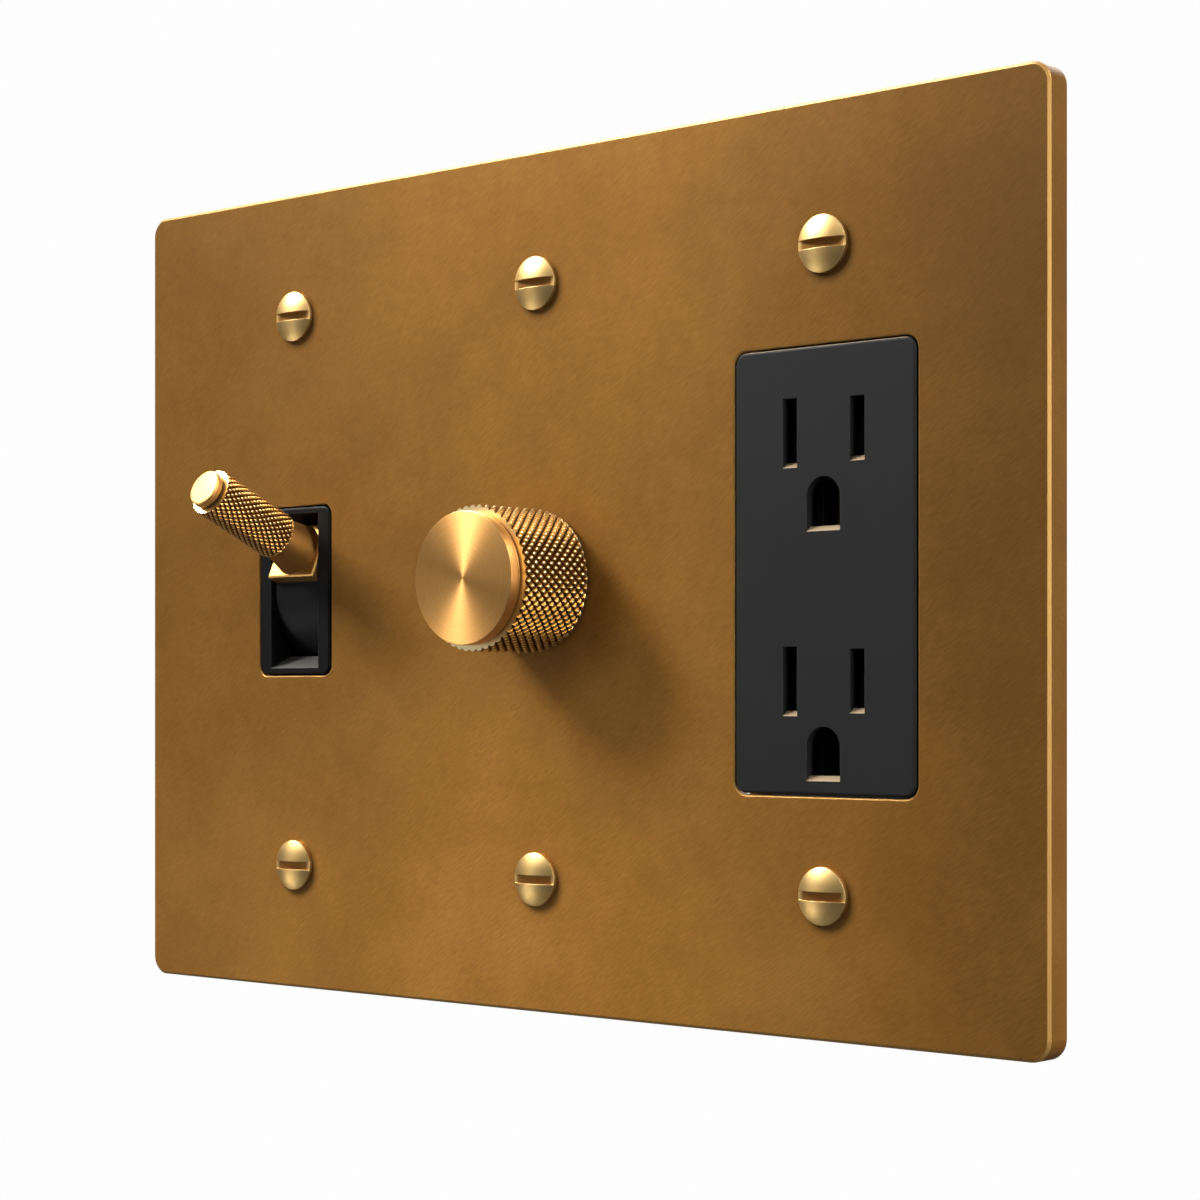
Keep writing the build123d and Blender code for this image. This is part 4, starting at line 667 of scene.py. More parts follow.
@dataclass(frozen=True, kw_only=True)
class AgedBrass(Finish):
    """Diagonally brushed brass under a brown skin with painted light and shade, rubbed bright along its
    chamfers.
    """

    deep: Colour = display(150, 103, 42)
    warm: Colour = display(166, 116, 51)
    rubbed: Colour = display(205, 160, 92)
    metallic: float = 0.4
    gloss: float = 0.12
    roughness: float = 0.46
    cloud_size: float = 35 * MM
    cloud_polish: float = 0.04
    edge_radius: float = 0.25 * MM
    edge_rubbing: float = 0.7
    edge_polish: float = 0.08
    chamfer: Fade = Fade(0.25, 0.1, 0.0, 1.0)
    run: GrainRun = GrainRun.DIAGONAL
    stroke_fineness: float = 4200.0
    stroke_length: float = 9.0
    stroke_tone: Fade = Fade(0.0, 1.0, 0.9, 1.08)
    stroke_relief: float = 0.08
    stroke_depth: float = 0.03 * MM
    scratch_tone: float = 0.1
    # The ends' darkening is partly patina and partly painted shade; the foot's brightening is painted light.
    left_end: Fade = Fade(-PLATE_HALF_WIDTH, 0.0, 0.78, 1.06)
    right_end: Fade = Fade(15 * MM, PLATE_HALF_WIDTH, 1.0, 0.54)
    foot: Fade = Fade(10 * MM, -65 * MM, 0.97, 1.3)
    # Painted shadows: one off to the knob's lower right, and one at the lower right of each plate screw.
    knob_shadow_centre: Triple = (4 * MM, -4.5 * MM, -4 * MM)
    knob_shadow_ring: Fade = Fade(8 * MM, 19 * MM, 0.62, 1.0)
    screw_shadow_shift: float = 0.9 * MM
    screw_shadow_ring: Fade = Fade(3.6 * MM, 5.6 * MM, 0.4, 1.0)

    def build(self) -> bpy.types.Material:
        """Builds the material.

        Returns:
            The brushed, clouded and edge-worn brass.
        """
        material, graph, shader, place = self.start()
        brushing = graph.effect(Effect.BRUSHING, {"Vector": graph.turn(place, self.run.value),
                                                  "Fineness": self.stroke_fineness,
                                                  "Length": self.stroke_length})
        clouds = graph.effect(Effect.CLOUDS, {"Vector": place, "Size": self.cloud_size})["Clouds"]
        edges = graph.effect(Effect.EDGES, {"Vector": place, "Radius": self.edge_radius})
        skin = graph.blend(clouds, self.deep, self.warm)
        strokes = graph.fade(brushing["Strokes"], self.stroke_tone)
        scratched = graph.calc("MULTIPLY_ADD", brushing["Scratches"], self.scratch_tone, strokes)
        # The skin's tone carries painted light and shade as well as patina.
        toned = graph.calc("MULTIPLY", scratched, self.skin_and_painted_light(graph, place))
        brushed = graph.add("VectorMath", {0: skin, "Scale": toned}, operation="SCALE").outputs[0]
        rubbed = self.slanting(graph)
        worn = graph.calc("MULTIPLY", graph.calc("MAXIMUM", rubbed, edges["Wear"]), self.edge_rubbing)
        colour = graph.blend(worn, brushed, self.rubbed)
        rough = graph.calc("MULTIPLY_ADD", clouds, -self.cloud_polish, self.roughness)
        rough = graph.calc("MULTIPLY_ADD", rubbed, -self.edge_polish, rough)
        bump = graph.bump(brushing["Strokes"], self.stroke_relief, self.stroke_depth, edges["Normal"])
        graph.feed(shader, {"Base Color": colour, "Metallic": self.metallic, "Roughness": rough,
                            "Specular IOR Level": self.gloss, "Normal": bump})
        return material

    def skin_and_painted_light(self, graph: Graph, place: bpy.types.NodeSocket) -> bpy.types.NodeSocket:
        """Tones the brown skin, partly as patina and partly as painted light and shade.

        It is lighter along the plate's middle and, as painted light, towards the foot. It is darker at both
        ends, partly patina and partly painted shade. The dark patches beside the knob and at the lower right
        of the screws are painted shadows.

        Args:
            graph: The material's graph.
            place: The Object coordinates.

        Returns:
            What the skin's colour is multiplied by.
        """
        axes = graph.axes(place)
        tone = graph.fade(axes["X"], self.left_end)
        from_knob_shadow = graph.measure("DISTANCE", place, self.knob_shadow_centre)
        from_screw_shadow = self.from_screw_shadow(graph, axes)
        for measure, fade in ((axes["X"], self.right_end), (axes["Z"], self.foot),
                              (from_knob_shadow, self.knob_shadow_ring), (from_screw_shadow, self.screw_shadow_ring)):
            tone = graph.calc("MULTIPLY", tone, graph.fade(measure, fade))
        return tone

    def from_screw_shadow(self, graph: Graph, axes: bpy.types.NodeOutputs) -> bpy.types.NodeSocket:
        """Measures the distance from the painted shadow's centre, down and right of the nearest plate screw.

        The place across is wrapped to one gang and the height is folded to one row of screws, so one spot
        serves all six.

        Args:
            graph: The material's graph.
            axes: The separated Object coordinates.

        Returns:
            The distance along the plate.
        """
        gang = graph.calc("SUBTRACT", axes["X"], self.screw_shadow_shift)
        across = graph.calc("WRAP", gang, GANG_PITCH / 2, -GANG_PITCH / 2)
        height = graph.calc("ABSOLUTE", graph.calc("ADD", axes["Z"], self.screw_shadow_shift))
        away = graph.calc("SUBTRACT", height, PLATE_SCREW_SPACING / 2)
        return graph.measure("LENGTH", graph.add("CombineXYZ", {"X": across, "Y": away}).outputs[0])

    def slanting(self, graph: Graph) -> bpy.types.NodeSocket:
        """Masks the chamfers, which slant between the front and the cut edges.

        Args:
            graph: The material's graph.

        Returns:
            One on faces that lean half way to the wall and nought on square faces.
        """
        lean = graph.calc("ABSOLUTE", graph.axes(graph.normal())["Y"])
        off = graph.calc("ABSOLUTE", graph.calc("SUBTRACT", lean, math.sqrt(0.5)))
        return graph.fade(off, self.chamfer)


@dataclass(frozen=True, kw_only=True)
class SatinBrass(Finish):
    """Pale satin-polished brass, with brown tarnish and painted shade in cut slots."""

    dull: Colour
    bright: Colour
    tarnish_and_shade: Colour
    roughness: float
    cloud_size: float = 4 * MM
    cloud_polish: float = 0.03
    tarnish_roughness: float = 0.1
    edge_radius: float = 0.12 * MM

    def build(self) -> bpy.types.Material:
        """Builds the material.

        Returns:
            The satin brass.
        """
        material, graph, shader, place = self.start()
        clouds = graph.effect(Effect.CLOUDS, {"Vector": place, "Size": self.cloud_size})["Clouds"]
        edges = graph.effect(Effect.EDGES, {"Vector": place, "Radius": self.edge_radius})
        colour = graph.blend(clouds, self.dull, self.bright)
        colour = graph.blend(edges["Wear"], colour, self.bright)
        dim = self.tarnish_and_shade_mask(graph, place)
        colour = graph.blend(dim, colour, self.tarnish_and_shade)
        rough = graph.calc("MULTIPLY_ADD", clouds, -self.cloud_polish, self.roughness)
        rough = graph.calc("MULTIPLY_ADD", dim, self.tarnish_roughness, rough)
        graph.feed(shader, {"Base Color": colour, "Metallic": 1.0, "Roughness": rough,
                            "Normal": edges["Normal"]})
        return material

    def tarnish_and_shade_mask(self, graph: Graph, place: bpy.types.NodeSocket) -> bpy.types.NodeSocket:
        """Masks the tarnish and painted shade: where a piece's recess attribute says that a point lies in a
        slot.

        Args:
            graph: The material's graph.
            place: The Object coordinates, which finishes with a place for their tarnish read.

        Returns:
            One in the slots and nought elsewhere.
        """
        return graph.mask(graph.attribute("recess"), none=0.05, full=0.5)


@dataclass(frozen=True, kw_only=True)
class CollarBrass(SatinBrass):
    """Satin brass whose collar, past a shoulder on its axis, is browner than the block below it."""

    axle: Axle
    shoulder: float
    shoulder_blend: float = 0.1 * MM

    def tarnish_and_shade_mask(self, graph: Graph, place: bpy.types.NodeSocket) -> bpy.types.NodeSocket:
        """Masks the collar by its distance along the axis.

        Args:
            graph: The material's graph.
            place: The Object coordinates.

        Returns:
            One past the shoulder and nought before it.
        """
        from_root = graph.vector("SUBTRACT", place, self.axle.origin)
        reach = graph.measure("DOT_PRODUCT", from_root, self.axle.along)
        return graph.mask(reach, none=self.shoulder, full=self.shoulder + self.shoulder_blend)


@dataclass(frozen=True, kw_only=True)
class KnurledBrass(Finish):
    """Knurled brass: pale crests over dark grooves, whose darkness is partly tarnish and partly painted
    shade.
    """

    groove: Colour
    flank: Colour
    crest: Colour
    groove_roughness: float = 0.48
    flank_polish: float = 0.16
    cloud_size: float = 3 * MM
    cloud_roughness: float = 0.05

    def build(self) -> bpy.types.Material:
        """Builds the material.

        Returns:
            The knurled brass, which reads the piece's crest attribute.
        """
        material, graph, shader, place = self.start()
        height = graph.attribute("crest")
        clouds = graph.effect(Effect.CLOUDS, {"Vector": place, "Size": self.cloud_size})["Clouds"]
        above_groove = graph.mask(height, none=0.0, full=0.55)
        # The groove colour is partly tarnish and partly painted shade.
        colour = graph.blend(above_groove, self.groove, self.flank)
        colour = graph.blend(graph.mask(height, none=0.7, full=1.0), colour, self.crest)
        rough = graph.calc("MULTIPLY_ADD", clouds, self.cloud_roughness, self.groove_roughness)
        rough = graph.calc("MULTIPLY_ADD", above_groove, -self.flank_polish, rough)
        graph.feed(shader, {"Base Color": colour, "Metallic": 1.0, "Roughness": rough})
        return material


@dataclass(frozen=True, kw_only=True)
class SpunBrass(Finish):
    """Brass faced on a lathe, with a sheen that fans out from its axis."""

    axle: Axle
    sheen: float
    dull: Colour = display(234, 174, 98)
    bright: Colour = display(244, 187, 111)
    # The dark colour behind the turned head is painted shade in the neck and groove.
    tarnish_and_shade: Colour = display(70, 44, 16)
    roughness: float = 0.52
    ring_pitch: float = 0.22 * MM
    ring_polish: float = 0.03
    edge_radius: float = 0.15 * MM
    sheen_turn: float = 0.25

    def build(self) -> bpy.types.Material:
        """Builds the material.

        Returns:
            The spun brass, which reads the piece's turning map and its recess attribute.
        """
        material, graph, shader, place = self.start()
        lean = math.atan2(self.axle.along[2], -self.axle.along[1])
        centred = graph.vector("SUBTRACT", place, self.axle.origin)
        upright = graph.turn(centred, (lean - math.pi / 2, 0.0, 0.0))
        rings = graph.effect(Effect.RINGS, {"Vector": upright, "Pitch": self.ring_pitch})["Rings"]
        edges = graph.effect(Effect.EDGES, {"Vector": place, "Radius": self.edge_radius})
        turned = graph.blend(rings, self.dull, self.bright)
        # Behind the head the colour turns to painted shade.
        colour = graph.blend(graph.attribute("recess"), turned, self.tarnish_and_shade)
        rough = graph.calc("MULTIPLY_ADD", rings, -self.ring_polish, self.roughness)
        tangent = graph.add("Tangent", direction_type="UV_MAP", uv_map="turning").outputs[0]
        graph.feed(shader, {"Base Color": colour, "Metallic": 1.0, "Roughness": rough,
                            "Anisotropic": self.sheen, "Anisotropic Rotation": self.sheen_turn,
                            "Tangent": tangent, "Normal": edges["Normal"]})
        return material


@dataclass(frozen=True, kw_only=True)
class MouldedPlastic(Finish):
    """Moulded plastic with a pebbled skin, paler worn edges and a little dust."""

    dark: Colour
    pale: Colour
    edge: Colour
    roughness: float
    pebble: float
    dust: float
    gloss: float = 0.25
    edge_radius: float = 0.18 * MM
    edge_rubbing: float = 0.4
    tone_roughness: float = 0.08
    dust_roughness: float = 0.3
    pebble_relief: float = 0.18
    pebble_depth: float = 0.04 * MM

    def build(self) -> bpy.types.Material:
        """Builds the material.

        Returns:
            The moulded plastic.
        """
        material, graph, shader, place = self.start()
        grain = graph.effect(Effect.GRAIN, {"Vector": place, "Pebble": self.pebble})
        edges = graph.effect(Effect.EDGES, {"Vector": place, "Radius": self.edge_radius})
        dust = graph.effect(Effect.DUST, {"Vector": place, "Amount": self.dust})["Dust"]
        colour = graph.blend(grain["Tone"], self.dark, self.pale)
        colour = graph.blend(graph.calc("MULTIPLY", edges["Wear"], self.edge_rubbing), colour, self.edge)
        colour = self.accent(graph, graph.blend(dust, colour, self.edge))
        rough = graph.calc("MULTIPLY_ADD", grain["Tone"], self.tone_roughness, self.roughness)
        rough = graph.calc("MULTIPLY_ADD", dust, self.dust_roughness, rough, clamp=True)
        bump = graph.bump(grain["Height"], self.pebble_relief, self.pebble_depth, edges["Normal"])
        graph.feed(shader, {"Base Color": colour, "Roughness": rough, "Specular IOR Level": self.gloss,
                            "Normal": bump})
        return material

    def accent(self, graph: Graph, colour: bpy.types.NodeSocket) -> bpy.types.NodeSocket:
        """Gives the colour back as it is, for mouldings of one colour."""
        return colour


@dataclass(frozen=True, kw_only=True)
class LedgeLitPlastic(MouldedPlastic):
    """Moulded plastic whose ledges, all on one slope, are painted pale as painted light."""

    painted_ledge_light: Colour
    slope: Triple

    def accent(self, graph: Graph, colour: bpy.types.NodeSocket) -> bpy.types.NodeSocket:
        """Pales the faces that lie along the ledges' slope, as painted light.

        Args:
            graph: The material's graph.
            colour: The moulding's own colour.

        Returns:
            The colour with pale ledges.
        """
        agreement = graph.measure("DOT_PRODUCT", graph.normal(), self.slope)
        return graph.blend(graph.mask(agreement, none=0.97, full=0.995), colour, self.painted_ledge_light)


@dataclass(frozen=True, kw_only=True)
class PlatedMetal(Finish):
    """Plated or plain sheet metal with drawn grain and brighter edges."""

    dull: Colour
    bright: Colour
    roughness: float = 0.36
    run: GrainRun = GrainRun.UPRIGHT
    grain_fineness: float = 3000.0
    grain_length: float = 30.0
    grain_tone: float = 0.3
    grain_relief: float = 0.08
    grain_depth: float = 0.04 * MM
    cloud_size: float = 12 * MM
    cloud_tone: float = 0.7
    cloud_roughness: float = 0.1
    edge_radius: float = 0.15 * MM

    def build(self) -> bpy.types.Material:
        """Builds the material.

        Returns:
            The plated metal.
        """
        material, graph, shader, place = self.start()
        grain = graph.effect(Effect.BRUSHING, {"Vector": graph.turn(place, self.run.value),
                                               "Fineness": self.grain_fineness,
                                               "Length": self.grain_length})["Strokes"]
        clouds = graph.effect(Effect.CLOUDS, {"Vector": place, "Size": self.cloud_size})["Clouds"]
        edges = graph.effect(Effect.EDGES, {"Vector": place, "Radius": self.edge_radius})
        clouded = graph.calc("MULTIPLY", clouds, self.cloud_tone)
        tone = graph.calc("MULTIPLY_ADD", grain, self.grain_tone, clouded)
        colour = graph.blend(tone, self.dull, self.bright)
        colour = graph.blend(edges["Wear"], colour, self.bright)
        rough = graph.calc("MULTIPLY_ADD", clouds, self.cloud_roughness, self.roughness)
        bump = graph.bump(grain, self.grain_relief, self.grain_depth, edges["Normal"])
        graph.feed(shader, {"Base Color": colour, "Metallic": 1.0, "Roughness": rough, "Normal": bump})
        return material


@dataclass(frozen=True, kw_only=True)
class LacqueredPart(Finish):
    """A small part under a clear coat: enamelled wire, a dipped capacitor or a masked board."""

    dark: Colour
    pale: Colour
    metallic: float = 0.0
    roughness: float = 0.4
    cloud_size: float = 6 * MM
    cloud_roughness: float = 0.12
    edge_radius: float = 0.2 * MM
    coat: Fade = Fade(0.0, 1.0, 0.5, 0.8)
    coat_roughness: float = 0.12

    def build(self) -> bpy.types.Material:
        """Builds the material.

        Returns:
            The lacquered part.
        """
        material, graph, shader, place = self.start()
        clouds = graph.effect(Effect.CLOUDS, {"Vector": place, "Size": self.cloud_size})["Clouds"]
        edges = graph.effect(Effect.EDGES, {"Vector": place, "Radius": self.edge_radius})
        colour = graph.blend(clouds, self.dark, self.pale)
        colour = graph.blend(edges["Wear"], colour, self.pale)
        rough = graph.calc("MULTIPLY_ADD", clouds, self.cloud_roughness, self.roughness)
        graph.feed(shader, {"Base Color": colour, "Metallic": self.metallic, "Roughness": rough,
                            "Coat Weight": graph.fade(clouds, self.coat),
                            "Coat Roughness": self.coat_roughness, "Normal": edges["Normal"]})
        return material


PLATE_BRASS = AgedBrass(Slot.PLATE, "brushed_plate_brass")
# The darker colour deep in the screw slots is tarnish and painted shade.
BRIGHT_BRASS = SatinBrass(
    Slot.BRIGHT, "satin_brass", dull=display(238, 196, 122), bright=display(246, 208, 138),
    tarnish_and_shade=display(148, 104, 52), roughness=0.42)
KNOB_BRASS = KnurledBrass(
    Slot.BRIGHT, "knurled_knob_brass", groove=display(36, 21, 6), flank=display(164, 115, 48),
    crest=display(255, 238, 184))
# A lighter copy of the knob's knurled brass: the paler flank and groove are painted light.
GRIP_BRASS_PAINTED_LIGHTER = KnurledBrass(
    Slot.BRIGHT, "knurled_grip_brass_painted_lighter", groove=display(56, 35, 12), flank=display(206, 150, 74),
    crest=display(255, 240, 184))
# The pale ledge colour is painted light on the sill of the lever's opening.
BEZEL_BLACK = LedgeLitPlastic(
    Slot.BEZEL, "satin_black_moulding", dark=display(12, 12, 12), pale=display(15, 15, 15),
    edge=display(96, 93, 88), roughness=0.42, pebble=0.2 * MM, dust=0.1, gloss=0.15,
    painted_ledge_light=display(90, 88, 85), slope=(0.0, -0.415, 0.91))
DRUM_BLACK = MouldedPlastic(
    Slot.BEZEL, "drum_black_moulding", dark=display(14, 14, 14), pale=display(19, 19, 19),
    edge=display(96, 93, 88), roughness=0.42, pebble=0.2 * MM, dust=0.1, gloss=0.15)
# The pale tan ledge colour is painted light on the ledges at the bottom of the slots.
FACE_CHARCOAL = LedgeLitPlastic(
    Slot.FACE, "matte_charcoal_moulding", dark=display(27, 27, 27), pale=display(31, 31, 31),
    edge=display(100, 95, 88), roughness=0.6, pebble=0.22 * MM, dust=0.06,
    painted_ledge_light=display(176, 152, 120), slope=(0.0, -0.555, 0.832))
HOUSING_BLACK = MouldedPlastic(
    Slot.HOUSING, "housing_black_moulding", dark=display(30, 30, 31), pale=display(42, 42, 42),
    edge=display(104, 102, 100), roughness=0.5, pebble=0.35 * MM, dust=0.15)
CONTACT_BRASS = PlatedMetal(
    Slot.CONTACT, "drawn_contact_brass", dull=display(168, 124, 60), bright=display(222, 182, 104))
ZINC_STEEL = PlatedMetal(
    Slot.ZINC, "zinc_plated_steel", dull=display(148, 150, 152), bright=display(208, 208, 204))
NICKEL = PlatedMetal(
    Slot.NICKEL, "nickel_plate", dull=display(176, 172, 164), bright=display(220, 216, 208), roughness=0.22)
ALUMINIUM = PlatedMetal(
    Slot.ALUMINIUM, "brushed_aluminium", dull=display(180, 181, 184), bright=display(222, 222, 224),
    roughness=0.34, run=GrainRun.ACROSS)
GROUND_GREEN = PlatedMetal(
    Slot.GROUND, "green_dyed_steel", dull=display(20, 84, 46), bright=display(46, 138, 84), roughness=0.34)
BOARD_GREEN = LacqueredPart(
    Slot.BOARD, "solder_mask", dark=display(12, 62, 34), pale=display(24, 98, 56))
COPPER_WIRE = LacqueredPart(
    Slot.COPPER, "enamelled_copper", dark=display(140, 70, 34), pale=display(204, 118, 66),
    metallic=1.0, roughness=0.3)
CAPACITOR_RED = LacqueredPart(
    Slot.CAPACITOR, "dipped_film", dark=display(112, 22, 14), pale=display(160, 42, 28))


def half_width(node: str) -> float:
    """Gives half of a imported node's width along X."""
    low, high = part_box(node)
    return (high.x - low.x) / 2


def dress(finish: Finish, *nodes: str) -> None:
    """Puts a finish on nodes that keep their own shape.

    Args:
        finish: The finish.
        nodes: Names of the nodes.
    """
    for node in nodes:
        mesh = frame["nodes"][node].data
        mesh.materials.clear()
        mesh.materials.append(finish.material())
        LOG.info("%s keeps its shape and takes %s", node, finish.name)


def install(piece: bpy.types.Object, finish: Finish, body: str, node: str) -> None:
    """Gives a new piece its finish, its body and the node that it stands for.

    Args:
        piece: The new piece.
        finish: Its finish.
        body: The body that carries it.
        node: The node that it replaces.
    """
    piece.data.materials.append(finish.material())
    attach(piece, body)
    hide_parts(node)
    LOG.info("%s replaces %s on %s with %d faces", piece.name, node, body, len(piece.data.polygons))


@dataclass(frozen=True)
class DiamondKnurl:
    """A knurled sleeve: rows of four-sided studs with flattened crests, staggered round a bored tube."""

    teeth: int
    rows: int
    depth: float
    length: float
    bore: float
    crest: float
    bevel: float
    samples: int = 3
    end_brightness: float = 0.95

    def build(self, name: str, axle: Axle, radius: float) -> bpy.types.Object:
        """Builds the sleeve.

        With p counting half teeth round the sleeve and q half rows along it, half their sum and half their
        difference number the two slanting families of grooves. The larger distance of either from its
        nearest whole number is nought on a crest and one half in a groove. The radius falls from the crest
        to the groove in a straight line past the flat, and both ends are bevelled. Each quad is cut along
        the family of grooves that it lies nearer to.

        Args:
            name: Name of the piece.
            axle: Axis that starts at the sleeve's inner end.
            radius: Radius over the crests.

        Returns:
            The sleeve, with its crest height as an attribute.
        """
        columns, steps = 2 * self.teeth * self.samples, 2 * self.rows * self.samples
        q, p = np.meshgrid(np.arange(steps + 1), np.arange(columns), indexing="ij")
        height = 1 - self.fall(p / self.samples, q / self.samples)
        along = q * self.length / steps
        limit = radius - self.bevel + np.minimum(along, self.length - along)
        outer = np.minimum(radius - self.depth * (1 - height), limit)
        angle = math.pi * p / (self.teeth * self.samples)
        wall = axle.turned(outer, along, angle)
        bore = axle.turned(np.full((2, columns), self.bore), np.array([[self.length], [0.0]]), angle[:2])
        quads = grid_quads(steps + 3, columns, True, True)
        middle_q, middle_p = np.divmod(np.arange(len(quads)), columns)
        first, second = self.families((middle_p + 0.5) / self.samples, (middle_q + 0.5) / self.samples)
        triangles = split_quads(quads, self.offset(second) > self.offset(first))
        shell = Shell()
        shell.add_faces(np.concatenate([wall, bore]), triangles)
        piece = shell.build(name, smooth_angle=60)
        self.mark_crests(piece, axle, radius)
        return piece

    def fall(self, p: np.ndarray, q: np.ndarray) -> np.ndarray:
        """Gives how far the surface has fallen from the crest, from nought to one.

        Args:
            p: Half teeth round the sleeve.
            q: Half rows along it.

        Returns:
            The share of the full depth.
        """
        first, second = self.families(p, q)
        distance = 2 * np.maximum(self.offset(first), self.offset(second))
        return np.clip((distance - self.crest) / (1 - self.crest), 0, 1)

    def mark_crests(self, piece: bpy.types.Object, axle: Axle, radius: float) -> None:
        """Stores each point's height over the groove, from nought to one, as the crest attribute.

        Both ends count as almost as high as the crests, since turning leaves them bright.

        Args:
            piece: The sleeve.
            axle: Its axis.
            radius: Radius over the crests.
        """
        local = mesh_points(piece.data) - np.array(axle.origin)
        along = axle.heights(piece.data)
        distance = np.linalg.norm(np.cross(local, np.array(axle.along)), axis=1)
        share = np.clip((distance - radius + self.depth) / self.depth, 0, 1)
        at_end = np.minimum(along, self.length - along) < SEAM
        store(piece, "crest", np.where(at_end, self.end_brightness, share))

    @staticmethod
    def families(p: np.ndarray, q: np.ndarray) -> tuple[np.ndarray, np.ndarray]:
        """Numbers the two slanting families of grooves at a point."""
        return (p + q) / 2, (p - q) / 2

    @staticmethod
    def offset(number: np.ndarray) -> np.ndarray:
        """Gives the distance to the nearest whole number."""
        return np.abs(number - np.round(number))


@dataclass(frozen=True)
class SlottedScrew:
    """A dome-headed screw with a cut slot and a rolled thread."""

    head_radius: float
    edge: float
    dome: float
    slot_width: float
    slot_depth: float
    neck_radius: float
    neck_length: float
    thread_radius: float
    reach: float
    pitch: float = 0.79 * MM
    thread_depth: float = 0.3 * MM
    thread_gain: float = 1.25
    quarter: int = 9
    mouth_points: int = 3
    chords: int = 20
    rows_per_turn: int = 6

    def add_to(self, shell: Shell, axle: Axle) -> None:
        """Adds one screw to a shell.

        Args:
            shell: The shell that collects the screws.
            axle: Axis that starts where the head seats and runs out through the crown.
        """
        mouth = math.asin(self.slot_width / 2 / self.head_radius)
        floor = self.edge + self.dome - self.slot_depth
        side = np.linspace(mouth, math.pi / 2, self.quarter)
        half = np.concatenate([side, math.pi - side[-2::-1]])
        gap = np.linspace(-mouth, mouth, self.mouth_points)
        self.add_dome(shell, axle, side, floor)
        for turn in (0.0, math.pi):
            levels = np.array([[0.0], [floor], [self.edge]])
            shell.add(axle.turned(self.head_radius, levels, turn + half[None, :]))
            shell.add(axle.turned(self.head_radius, levels[:2], turn + gap[None, :]))
        around = np.concatenate([gap, half[1:-1], math.pi + gap, math.pi + half[1:-1]])
        self.add_shank(shell, axle, around)

    def add_dome(self, shell: Shell, axle: Axle, side: np.ndarray, floor: float) -> None:
        """Adds both halves of the crown, the slot's walls and its floor.

        Each half is a fan of chords that run beside the slot: a point lies a share of the way along the
        chord at its distance from the slot, on a sphere through the crown and the rim.

        Args:
            shell: The shell that collects the screws.
            axle: The screw's axis.
            side: Angles of the rim from the slot's mouth to the top.
            floor: Height of the slot's floor.
        """
        share = np.linspace(-1, 1, self.chords)
        for sign in (1, -1):
            away = sign * self.head_radius * np.sin(side)[:, None]
            across = self.head_radius * np.cos(side)[:, None] * share
            shell.add(axle.place(across, away, self.crown(across, away)))
            lip = across[:1], away[:1]
            wall = np.concatenate([np.full((1, self.chords), floor), self.crown(*lip)])
            shell.add(axle.place(np.repeat(lip[0], 2, axis=0), lip[1], wall))
        gap = np.linspace(-side[0], side[0], self.mouth_points)[:, None]
        shell.add(axle.place(self.head_radius * np.cos(gap) * share, self.head_radius * np.sin(gap), floor))

    def crown(self, across: np.ndarray, away: np.ndarray) -> np.ndarray:
        """Gives the crown's height: the edge plus a sphere through the rim and the crown's top.

        Args:
            across: Distances along the slot.
            away: Distances from the slot's middle.

        Returns:
            Heights over the seat.
        """
        sphere = (self.head_radius**2 + self.dome**2) / (2 * self.dome)
        drop = sphere - np.sqrt(np.maximum(sphere**2 - across**2 - away**2, 0))
        return self.edge + self.dome - drop

    def add_shank(self, shell: Shell, axle: Axle, around: np.ndarray) -> None:
        """Adds the seat, the neck, the thread and the tip as rows of one turned surface.

        The thread's radius rises and falls as a clipped triangle wave of the distance along the shank, in
        pitches, less the turn about it, so the wave winds into a helix. Over the last pitch
        it tapers to its root.

        Args:
            shell: The shell that collects the screws.
            axle: The screw's axis.
            around: Angles of the points of a row.
        """
        turns = (self.reach - self.neck_length) / self.pitch
        down = np.linspace(self.neck_length, self.reach, math.ceil(turns * self.rows_per_turn))[:, None]
        wave = np.abs(((down / self.pitch - around / math.tau) % 1) - 0.5) * 2
        before_tip = np.clip((self.reach - down) / self.pitch, 0, 1)
        cut = self.thread_depth * np.clip(self.thread_gain * (1 - wave), 0, 1)
        taper = self.thread_depth * (1 - before_tip)
        radius = self.thread_radius - np.maximum(cut, taper)
        plain = np.array([[self.head_radius], [self.neck_radius], [self.neck_radius]]) * np.ones_like(around)
        tip = np.zeros((1, len(around)))
        radii = np.concatenate([plain, radius, tip])
        depths = np.concatenate([[[0.0], [0.0], [self.neck_length]], down, [[self.reach]]])
        shell.add(axle.turned(radii, -depths, around[None, :]), ring=True)


def turned_piece(name: str, axle: Axle, corners: list[tuple[float, float]], ease: float,
                 segments: int) -> bpy.types.Object:
    """Builds a piece turned from an eased outline, with a map that follows the turning.

    Args:
        name: Name of the piece.
        axle: Its axis.
        corners: Radius and height of the outline's corners, from the axis to the axis.
        ease: How far the rounding reaches from a corner.
        segments: Points round the axis.

    Returns:
        The turned piece.
    """
    outline = eased_profile(corners, ease)
    angle = np.linspace(0, math.tau, segments, endpoint=False)[None, :]
    shell = Shell()
    shell.add(axle.turned(outline[:, :1], outline[:, 1:], angle), ring=True)
    piece = shell.build(name, smooth_angle=30)
    wrap_uv(piece, axle)
    return piece


def mark_neck(piece: bpy.types.Object, axle: Axle, head: float) -> None:
    """Stores one for each point behind a turned head, nought on it, as the recess attribute for painted
    shade.

    Args:
        piece: The turned piece.
        axle: Its axis.
        head: Height along the axis where the head begins.
    """
    store(piece, "recess", np.where(axle.heights(piece.data) < head - SEAM, 1.0, 0.0))


